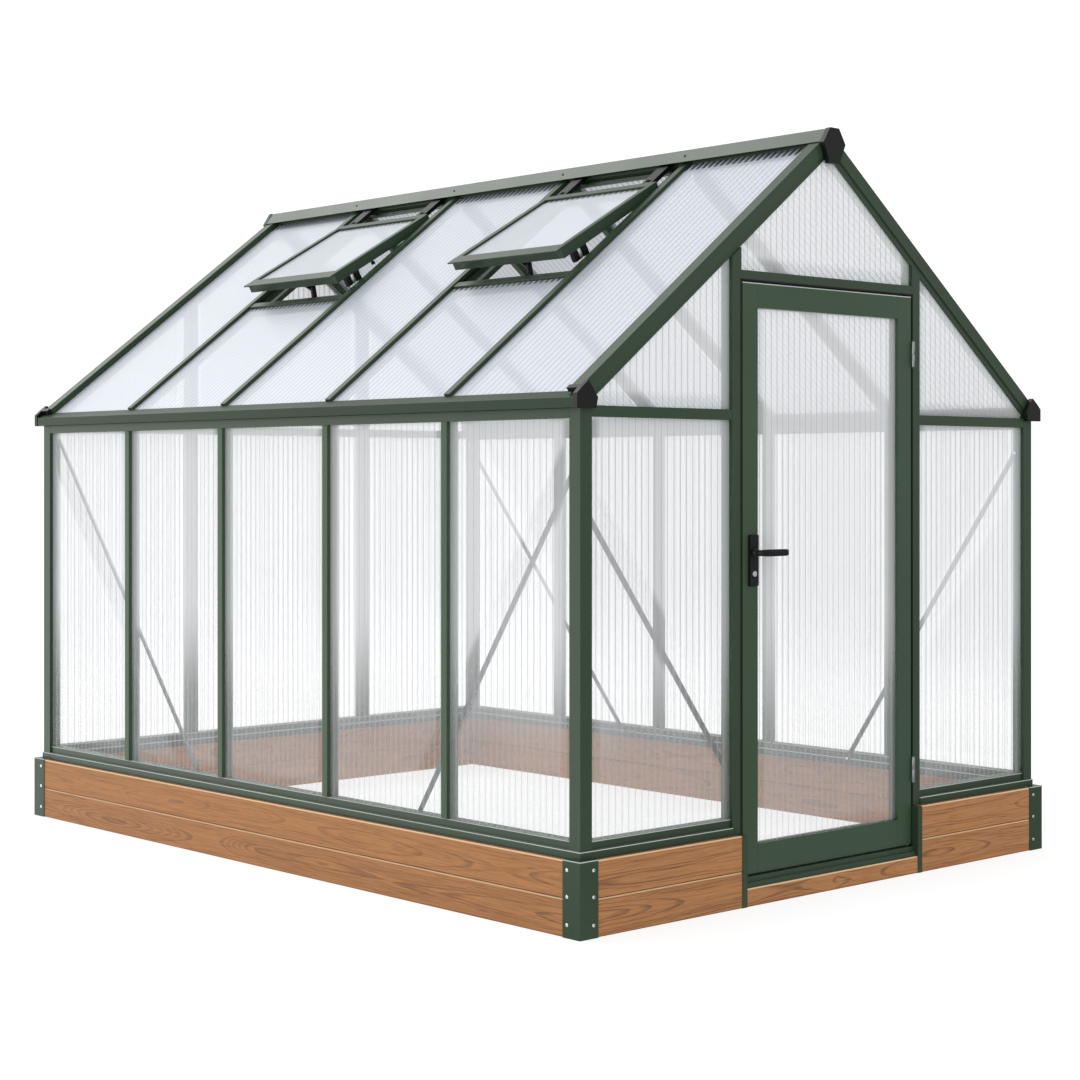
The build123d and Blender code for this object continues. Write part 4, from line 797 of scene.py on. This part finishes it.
class GREENHOUSE_OT_frame(bpy.types.Operator):
    """Coat the frame's sections and soften their edges"""

    bl_idname = "greenhouse.frame"
    bl_label = "Coated frame"

    pieces = (
        "doorway_trims threshold_rail head_rails roof_bars gable_rafters "
        "ridge_beam door_posts door_header door_stops front_gable_rails back_gable_posts back_gable_rails "
        "vent_crossbars vent_trimmers vent_front_sash vent_rear_sash"
    ).split()

    def execute(self, context):
        radius = context.scene.greenhouse_coat.edge_radius
        dress(self.pieces, green_coat(), radius)
        # The levels given to the sill, post, door and bracket coats are where their painted highlights run
        dress(["sills"], coat("sill_powder_coat", *SILL_EDGES), radius)
        dress(["corner_posts"], coat("post_powder_coat", SILL_EDGES[0]), radius)
        # Painted light and shade: the wall bars and the door's leaf get paler copies of the one coat, the gutters a
        # darker one
        dress(["wall_bars"], coat("bar_powder_coat", tone=1.4), radius)
        dress(["gutters"], coat("gutter_powder_coat", tone=0.8, gloss=0.10), radius)
        leaf = coat("door_powder_coat", LEAF_LEVELS[1], tone=1.35)
        dress(["door_stiles", "door_rails"], leaf, radius)
        bracket_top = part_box("corner_brackets")[1][2]
        dress(["corner_brackets"], coat("bracket_powder_coat", bracket_top, gloss=0.14))
        return {"FINISHED"}


class GREENHOUSE_OT_ironwork(bpy.types.Operator):
    """Finish the braces, hinges, locks and moulded parts"""

    bl_idname = "greenhouse.ironwork"
    bl_label = "Ironwork"

    steel = (
        "strike_plate brace_bolts lock_case latch_bolt deadbolt key_cylinder key_plug vent_front_catch_stud "
        "vent_rear_catch_stud"
    ).split()
    plastic = (
        "gutter_end_caps ridge_end_caps handle_backplates vent_hinge_brackets stay_feet vent_front_hardware "
        "vent_front_lower_arm vent_front_upper_arm vent_rear_hardware vent_rear_lower_arm vent_rear_upper_arm"
    ).split()

    def execute(self, context):
        look = fittings()
        dress(self.steel, bright_steel(), look.steel_edge)
        dress(["hinge_frame_leaves", "hinge_door_leaves"], satin_steel(), look.steel_edge)
        dress(["wall_braces"], dull_zinc(), look.steel_edge)
        dress(self.plastic, black_plastic(), look.plastic_edge)
        return {"FINISHED"}


class GREENHOUSE_OT_wall_sheets(bpy.types.Operator):
    """Hang the ribbed sheets of the side walls"""

    bl_idname = "greenhouse.wall_sheets"
    bl_label = "Wall sheets"

    def execute(self, context):
        low, high = (corner.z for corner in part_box("wall_panels"))
        for side, side_name in SIDES:
            for bay in range(1, BAY_COUNT + 1):
                start, stop = bay_run(bay)
                middle = (side * (HALF_WIDTH - SHEET_DEPTH), (start + stop) / 2, 0.0)
                place = placed(middle, (0, side, 0), (0, 0, 1))
                brace = None
                if bay in WALL_BRACES:
                    brace = [(side * HALF_WIDTH, *end) for end in WALL_BRACES[bay]]
                name, half = f"wall_sheet_{side_name}_{bay}", (stop - start) / 2
                sheet(name, "house", ["wall_panels"], place, half, lambda x: (low, high), brace=brace)
        return {"FINISHED"}


class GREENHOUSE_OT_roof_sheets(bpy.types.Operator):
    """Hang the ribbed sheets of the roof"""

    bl_idname = "greenhouse.roof_sheets"
    bl_label = "Roof sheets"

    def execute(self, context):
        for side, side_name in SIDES:
            down = Vector((side * cos(ROOF_PITCH), 0, -sin(ROOF_PITCH)))
            out = Vector((side * sin(ROOF_PITCH), 0, cos(ROOF_PITCH)))
            for bay in range(1, BAY_COUNT + 1):
                start, stop = bay_run(bay)
                vented = side < 0 and bay in VENT_BAYS
                top, foot = (BELOW_VENT if vented else ROOF_RUN[0]), ROOF_RUN[1]
                middle = Vector((0, (start + stop) / 2, APEX)) - out * SHEET_DEPTH + down * (top + foot) / 2
                half_run = (foot - top) / 2
                place = placed(middle, (0, side, 0), -down)
                # a covered upper end gets painted shade in its flutes; the right slope's sheets get none
                cover = CROSSBAR_COVER if vented else RIDGE_COVER if side < 0 else NO_FLUTE_SHADE
                name, half = f"roof_sheet_{side_name}_{bay}", (stop - start) / 2
                nodes = [f"roof_panels_{side_name}"]
                sheet(name, "house", nodes, place, half, lambda x: (-half_run, half_run), cover=cover)
        return {"FINISHED"}


class GREENHOUSE_OT_gable_sheets(bpy.types.Operator):
    """Hang the ribbed sheets of both gables"""

    bl_idname = "greenhouse.gable_sheets"
    bl_label = "Gable sheets"

    def hang(self, gable, number, run, low, high, brace=None):
        """One sheet between two distances across the gable, cut off under the rafters."""
        end = -1 if gable == "front" else 1
        middle, half = sum(run) / 2, (run[1] - run[0]) / 2
        place = placed((middle, end * (HALF_LENGTH - SHEET_DEPTH), 0.0), (-end, 0, 0), (0, 0, 1))
        flat = (roof_edge(0) - high) / tan(ROOF_PITCH)
        kinks = (-flat, flat) if 0 < flat < half and middle == 0 else ()
        name, nodes = f"{gable}_gable_sheet_{number}", [f"{gable}_gable_panels"]

        def ends(x):
            return low, min(high, roof_edge(middle - end * x))

        sheet(name, "house", nodes, place, half, ends, kinks, brace=brace)

    def execute(self, context):
        for gable in ("front", "back"):
            middle = (-GABLE_MIDDLE, GABLE_MIDDLE)
            if gable == "front":
                self.hang(gable, 1, middle, OVER_DOOR, GABLE_HIGH[1])
            else:
                self.hang(gable, 1, middle, *GABLE_HIGH)
                self.hang(gable, 6, middle, *GABLE_LOW)
            for side, number in ((-1, 2), (1, 4)):
                brace = GABLE_BRACE if (gable, side) == ("front", -1) else None
                self.hang(gable, number, sorted(side * x for x in GABLE_SIDES), *GABLE_LOW, brace)
                self.hang(gable, number + 1, sorted(side * x for x in GABLE_TIPS), *GABLE_HIGH)
        return {"FINISHED"}


class GREENHOUSE_OT_door_sheet(bpy.types.Operator):
    """Hang the door's ribbed sheet"""

    bl_idname = "greenhouse.door_sheet"
    bl_label = "Door sheet"

    def execute(self, context):
        low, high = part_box("door_panel")
        place = placed((0, (low.y + high.y) / 2, 0.0), (1, 0, 0), (0, 0, 1))
        sheet("door_sheet", "door", ["door_panel"], place, high.x, lambda x: (low.z, high.z))
        return {"FINISHED"}


class GREENHOUSE_OT_vent_sheets(bpy.types.Operator):
    """Set the ribbed sheets into the roof vents"""

    bl_idname = "greenhouse.vent_sheets"
    bl_label = "Vent sheets"

    def execute(self, context):
        down = vent_down()
        half_run = (VENT_PANE_RUN[1] - VENT_PANE_RUN[0]) / 2
        for bay, vent in VENT_BAYS.items():
            middle = vent_hinge(bay) + down * sum(VENT_PANE_RUN) / 2 + vent_out() * VENT_PANE_LEVEL
            place = placed(middle, (0, -1, 0), -down)
            name, nodes = f"{vent}_sheet", [f"{vent}_pane"]
            sheet(name, vent, nodes, place, VENT_PANE_HALF, lambda x: (-half_run, half_run), cover=SHEET_GRIP)
        return {"FINISHED"}


def turns(steps):
    """Angles of the points round a circle."""
    return [2 * pi * step / steps for step in range(steps)]


def facing(origin, normal):
    """A local frame that stands on a surface."""
    return Matrix.Translation(Vector(origin)) @ Vector(normal).to_track_quat("Z", "Y").to_matrix().to_4x4()


def ring(first, steps):
    """The points of one ring, as a face."""
    return tuple(range(first, first + steps))


def ring_faces(first, rings, steps):
    """Faces between rings of points, the first ring starting at a given point."""
    faces = []
    for low in range(first, first + (rings - 1) * steps, steps):
        high = low + steps
        for step in range(steps):
            after = (step + 1) % steps
            faces.append((low + step, low + after, high + after, high + step))
    return faces


def dome_heads(name, places, size, materials, body):
    """Dome heads with hex sockets. The size is a head's radius, its height and half of its socket."""
    radius, height, socket = size
    steps = fittings().round_steps
    # Shares of the head's radius and height, and of the height at the socket's rim and floor
    dome = ((1.0, 0.0), (1.0, 0.12), (0.95, 0.42), (0.82, 0.72), (0.62, 0.93), (0.50, 1.0))
    hollow = (1.0, 0.35)
    rings = len(dome) + len(hollow)
    head = []
    for out, up in dome:
        head += [(radius * out * cos(t), radius * out * sin(t), height * up) for t in turns(steps)]
    for up in hollow:
        for t in turns(steps):
            reach = socket / cos((t + pi / 6) % (pi / 3) - pi / 6)
            head.append((reach * cos(t), reach * sin(t), height * up))
    points, faces, finishes = [], [], []
    for place in places:
        start = len(points)
        points += [place @ Vector(point) for point in head]
        faces += ring_faces(start, rings, steps)
        faces += [ring(start + (rings - 1) * steps, steps), ring(start, steps)[::-1]]
        # the socket's faces get the second finish, dark steel painted as shade
        finishes += [0] * (len(dome) * steps) + [1] * (steps + 1) + [0]
    return add_piece(name, points, faces, materials, body, face_materials=finishes, smooth=True)


class GREENHOUSE_OT_base_bolts(bpy.types.Operator):
    """Fit the dome bolts of the corner brackets"""

    bl_idname = "greenhouse.base_bolts"
    bl_label = "Bracket bolts"

    def execute(self, context):
        look = fittings()
        across, along = BRACKET_FACES
        places = []
        for side in (-1, 1):
            for end in (-1, 1):
                for level in BOLT_LEVELS:
                    places.append(facing((side * across, end * (along - BOLT_INSET), level), (side, 0, 0)))
                    places.append(facing((side * (across - BOLT_INSET), end * along, level), (0, end, 0)))
        size = (look.head_radius, look.head_height, look.socket_flat)
        heads = dome_heads("base_bolt_heads", places, size, [bright_steel(), dark_socket()], "house")
        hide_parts("base_bolts")
        return {"FINISHED"}


class GREENHOUSE_OT_ridge_screws(bpy.types.Operator):
    """Fit the coated screws that hold the ridge to the roof bars"""

    bl_idname = "greenhouse.ridge_screws"
    bl_label = "Ridge screws"

    # Radius, height and half of the socket, as shares of the radius
    shares = (1.0, 0.55, 0.4)

    def execute(self, context):
        look = fittings()
        (top_x, top_z), (foot_x, foot_z) = RIDGE_SLOPE
        places = []
        for side in (-1, 1):
            for bar in range(1, BAY_COUNT):
                middle = (side * (top_x + foot_x) / 2, -HALF_LENGTH + BAY_PITCH * bar, (top_z + foot_z) / 2)
                places.append(facing(middle, (side * (top_z - foot_z), 0, foot_x - top_x)))
        size = [look.screw_radius * share for share in self.shares]
        dome_heads("ridge_screws", places, size, [green_coat(), dark_socket()], "house")
        return {"FINISHED"}


class GREENHOUSE_OT_door_seal(bpy.types.Operator):
    """Run the black seal round the door, with a lip that widens the dark line of the door gap as painted shade"""

    bl_idname = "greenhouse.door_seal"
    bl_label = "Door seal"

    # Distance out from the leaf and distance behind the frame's face
    bulb = (
        (0.0058, 0.0100),
        (0.0058, 0.0036),
        (0.0050, 0.0027),
        (0.0036, 0.0024),
        (0.0022, 0.0028),
        (0.0016, 0.0040),
        (0.0021, 0.0056),
        (0.0036, 0.0072),
        (0.0038, 0.0100),
    )
    # The flat lip lies on the frame's face round the leaf and widens the dark line there: a black piece standing in
    # for the shade of the door gap
    shade_lip = (
        (0.0100, -0.0002),
        (0.0100, -0.0010),
        (0.0092, -0.0016),
        (0.0050, -0.0016),
        (0.0040, -0.0010),
        (0.0040, -0.0002),
    )

    def runs(self):
        """Profile, sideways or upwards from the leaf, and where each length starts and stops."""
        low, high = LEAF_LEVELS
        inner, outer = self.shade_lip[-1][0], self.shade_lip[0][0]
        hinged = [level for pair in HINGE_LEVELS for level in pair]
        for profile, foot, top in ((self.bulb, low - DOOR_GAP, high + DOOR_GAP), (self.shade_lip, POST_FOOT, high + outer)):
            yield profile, -1, 0, (foot, top)
            levels = [foot] + hinged + [top]
            for number in range(0, len(levels), 2):
                yield profile, 1, 0, (levels[number], levels[number + 1])
        yield self.bulb, 0, 1, (-LEAF_HALF, LEAF_HALF)
        yield self.bulb, 0, -1, (-LEAF_HALF, LEAF_HALF)
        yield self.shade_lip, 0, 1, (-LEAF_HALF - inner, LEAF_HALF + inner)

    def execute(self, context):
        low, high = LEAF_LEVELS
        points, faces = [], []
        for profile, sideways, upwards, run in self.runs():
            start, count = len(points), len(profile)
            for end in run:
                for off, back in profile:
                    y = -HALF_LENGTH + back
                    if sideways:
                        points.append((sideways * (LEAF_HALF + off), y, end))
                    else:
                        points.append((end, y, (high + off) if upwards > 0 else (low - off)))
            sides = ring_faces(start, 2, count)
            ends = [ring(start, count)[::-1], ring(start + count, count)]
            flip = (sideways or -upwards) > 0
            faces += [face[::-1] for face in sides + ends] if flip else sides + ends
        add_piece("door_seal", points, faces, [black_rubber()], "house")
        return {"FINISHED"}


class GREENHOUSE_OT_vent_knob(bpy.types.Operator):
    """Turn the knob under the rear vent's side"""

    bl_idname = "greenhouse.vent_knob"
    bl_label = "Vent knob"

    # Radius and distance below the sash
    profile = (
        (0.0045, 0.0),
        (0.0045, 0.0050),
        (0.0072, 0.0062),
        (0.0084, 0.0085),
        (0.0086, 0.0120),
        (0.0078, 0.0155),
        (0.0056, 0.0176),
        (0.0020, 0.0183),
    )

    def execute(self, context):
        steps = fittings().round_steps
        down, level, along = KNOB_PLACE
        bay = next(bay for bay, vent in VENT_BAYS.items() if vent == "vent_rear")
        origin = vent_hinge(bay) + vent_down() * down + vent_out() * level + Vector((0, along, 0))
        place = facing(origin, -vent_out())
        points = [place @ Vector((r * cos(t), r * sin(t), h)) for r, h in self.profile for t in turns(steps)]
        faces = ring_faces(0, len(self.profile), steps)
        faces += [ring((len(self.profile) - 1) * steps, steps), ring(0, steps)[::-1]]
        add_piece("vent_rear_knob", points, faces, [black_plastic()], "vent_rear", smooth=True)
        return {"FINISHED"}


class GREENHOUSE_OT_lever(bpy.types.Operator):
    """Shape the door's lever handles"""

    bl_idname = "greenhouse.lever"
    bl_label = "Lever handle"

    # Distance out from the backplate, distance along the grip, half height, half thickness
    sections = (
        (0.0004, 0.0, 0.0150, 0.0150),
        (0.0050, 0.0, 0.0150, 0.0150),
        (0.0066, 0.0, 0.0138, 0.0138),
        (0.0070, 0.0, 0.0104, 0.0104),
        (0.0180, 0.0, 0.0100, 0.0100),
        (0.0280, 0.0020, 0.0104, 0.0092),
        (0.0350, 0.0100, 0.0110, 0.0082),
        (0.0375, 0.0220, 0.0116, 0.0074),
        (0.0380, 0.0340, 0.0118, 0.0068),
        (0.0380, 0.0700, 0.0117, 0.0064),
        (0.0380, 0.1080, 0.0115, 0.0062),
        (0.0380, 0.1190, 0.0108, 0.0058),
        (0.0380, 0.1235, 0.0084, 0.0044),
        (0.0380, 0.1248, 0.0030, 0.0020),
    )

    round_sections = 5  # the rose and the neck, before the grip
    grip_power = 0.55  # less than 1 squares the grip's section
    sides = 32

    def execute(self, context):
        steps, count = self.sides, len(self.sections)
        points, faces = [], []
        for face, out in zip(BACKPLATE_FACES, (-1, 1)):
            start = len(points)
            line = [Vector((HANDLE[0] + s[1], face + out * s[0], HANDLE[1])) for s in self.sections]
            for number, (_, _, tall, thick) in enumerate(self.sections):
                before, after = line[max(number - 1, 0)], line[min(number + 1, count - 1)]
                forward = (after - before).normalized()
                sideways = forward.cross(Vector((0, 0, 1)))
                power = 1.0 if number < self.round_sections else self.grip_power
                for t in turns(steps):
                    up = abs(sin(t)) ** power * (1 if sin(t) > 0 else -1) * tall
                    off = abs(cos(t)) ** power * (1 if cos(t) > 0 else -1) * thick
                    points.append(line[number] + sideways * off + Vector((0, 0, up)))
            faces += [(face[0], *face[:0:-1]) for face in ring_faces(start, count, steps)]
            faces += [ring(start, steps), ring(start + (count - 1) * steps, steps)[::-1]]
        black = [black_plastic()]
        piece = add_piece("lever_handles", points, faces, black, "door_lever", smooth=True)
        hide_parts("door_lever")
        return {"FINISHED"}


class GREENHOUSE_OT_stage(bpy.types.Operator):
    """Set up the floor, the light and the camera"""

    bl_idname = "greenhouse.stage"
    bl_label = "Stage"

    def lay_floor(self, scene, look):
        mesh = bpy.data.meshes.new("floor")
        corners = [(x * FLOOR_REACH, y * FLOOR_REACH, 0) for x, y in ((-1, -1), (1, -1), (1, 1), (-1, 1))]
        mesh.from_pydata(corners, [], [(0, 1, 2, 3)])
        mesh.materials.append(floor_paint(look))
        floor = bpy.data.objects.new("floor", mesh)
        scene.collection.objects.link(floor)
        floor.location.z = -FLOOR_DROP

    def hang_sky(self, scene, look):
        world = bpy.data.worlds.new("even_white")
        world.use_nodes = True
        world.cycles.sampling_method = "NONE"
        sky = Nodes(world.node_tree)
        lean = sky.lean(sky.add("ShaderNodeTexCoord", output="Generated"))
        strength = (look.sky + sky.reflected() * lean * look.lean).at_least(LEAST_SKY)
        sky.fill(sky.tree.nodes["Background"], {"Color": (*WHITE, 1.0), "Strength": strength})
        scene.world = world

    def hang_key(self, scene, look):
        key = bpy.data.lights.new("soft_key", "SUN")
        key.energy = look.key
        key.angle = KEY_SPREAD
        lamp = bpy.data.objects.new("soft_key", key)
        lamp.rotation_euler = Vector(KEY_FROM).to_track_quat("Z", "Y").to_euler()
        scene.collection.objects.link(lamp)

    def stand_camera(self, scene, look):
        camera = bpy.data.cameras.new("camera")
        camera.lens = look.lens
        camera.sensor_width = SENSOR_WIDTH
        camera.shift_y = look.shift
        stand = bpy.data.objects.new("camera", camera)
        stand.location = look.camera_place
        stand.rotation_euler = (pi / 2, 0, look.camera_turn)
        scene.collection.objects.link(stand)
        scene.camera = stand

    def execute(self, context):
        scene, look = context.scene, context.scene.greenhouse_stage
        for step in (self.lay_floor, self.hang_sky, self.hang_key, self.stand_camera):
            step(scene, look)
        scene.view_settings.view_transform = "Standard"
        scene.cycles.use_denoising = True
        scene.cycles.max_bounces = 12
        scene.cycles.diffuse_bounces = 6
        scene.cycles.transparent_max_bounces = 48
        return {"FINISHED"}


SETTINGS = {
    "greenhouse_coat": CoatSettings,
    "greenhouse_timber": TimberSettings,
    "greenhouse_sheet": SheetSettings,
    "greenhouse_fittings": FittingSettings,
    "greenhouse_stage": StageSettings,
}
OPERATORS = (
    GREENHOUSE_OT_timber,
    GREENHOUSE_OT_frame,
    GREENHOUSE_OT_ironwork,
    GREENHOUSE_OT_wall_sheets,
    GREENHOUSE_OT_roof_sheets,
    GREENHOUSE_OT_gable_sheets,
    GREENHOUSE_OT_door_sheet,
    GREENHOUSE_OT_vent_sheets,
    GREENHOUSE_OT_base_bolts,
    GREENHOUSE_OT_ridge_screws,
    GREENHOUSE_OT_lever,
    GREENHOUSE_OT_door_seal,
    GREENHOUSE_OT_vent_knob,
    GREENHOUSE_OT_stage,
)


class GREENHOUSE_PT_panel(bpy.types.Panel):
    """Lists the greenhouse's settings and steps"""

    bl_idname = "GREENHOUSE_PT_panel"
    bl_label = "Greenhouse"
    bl_space_type = "VIEW_3D"
    bl_region_type = "UI"
    bl_category = "Greenhouse"

    def draw(self, context):
        for setting, group in SETTINGS.items():
            box = self.layout.box()
            for name in group.__annotations__:
                box.prop(getattr(context.scene, setting), name)
        for operator in OPERATORS:
            self.layout.operator(operator.bl_idname)


def register():
    for group in (*SETTINGS.values(), *OPERATORS, GREENHOUSE_PT_panel):
        bpy.utils.register_class(group)
    for setting, group in SETTINGS.items():
        setattr(bpy.types.Scene, setting, PointerProperty(type=group))


def unregister():
    for setting in SETTINGS:
        delattr(bpy.types.Scene, setting)
    for group in (GREENHOUSE_PT_panel, *reversed(OPERATORS), *SETTINGS.values()):
        bpy.utils.unregister_class(group)


def main():
    register()
    for operator in OPERATORS:
        step = operator.bl_idname.split(".")[1]
        getattr(bpy.ops.greenhouse, step)()


if __name__ == "__main__":
    main()
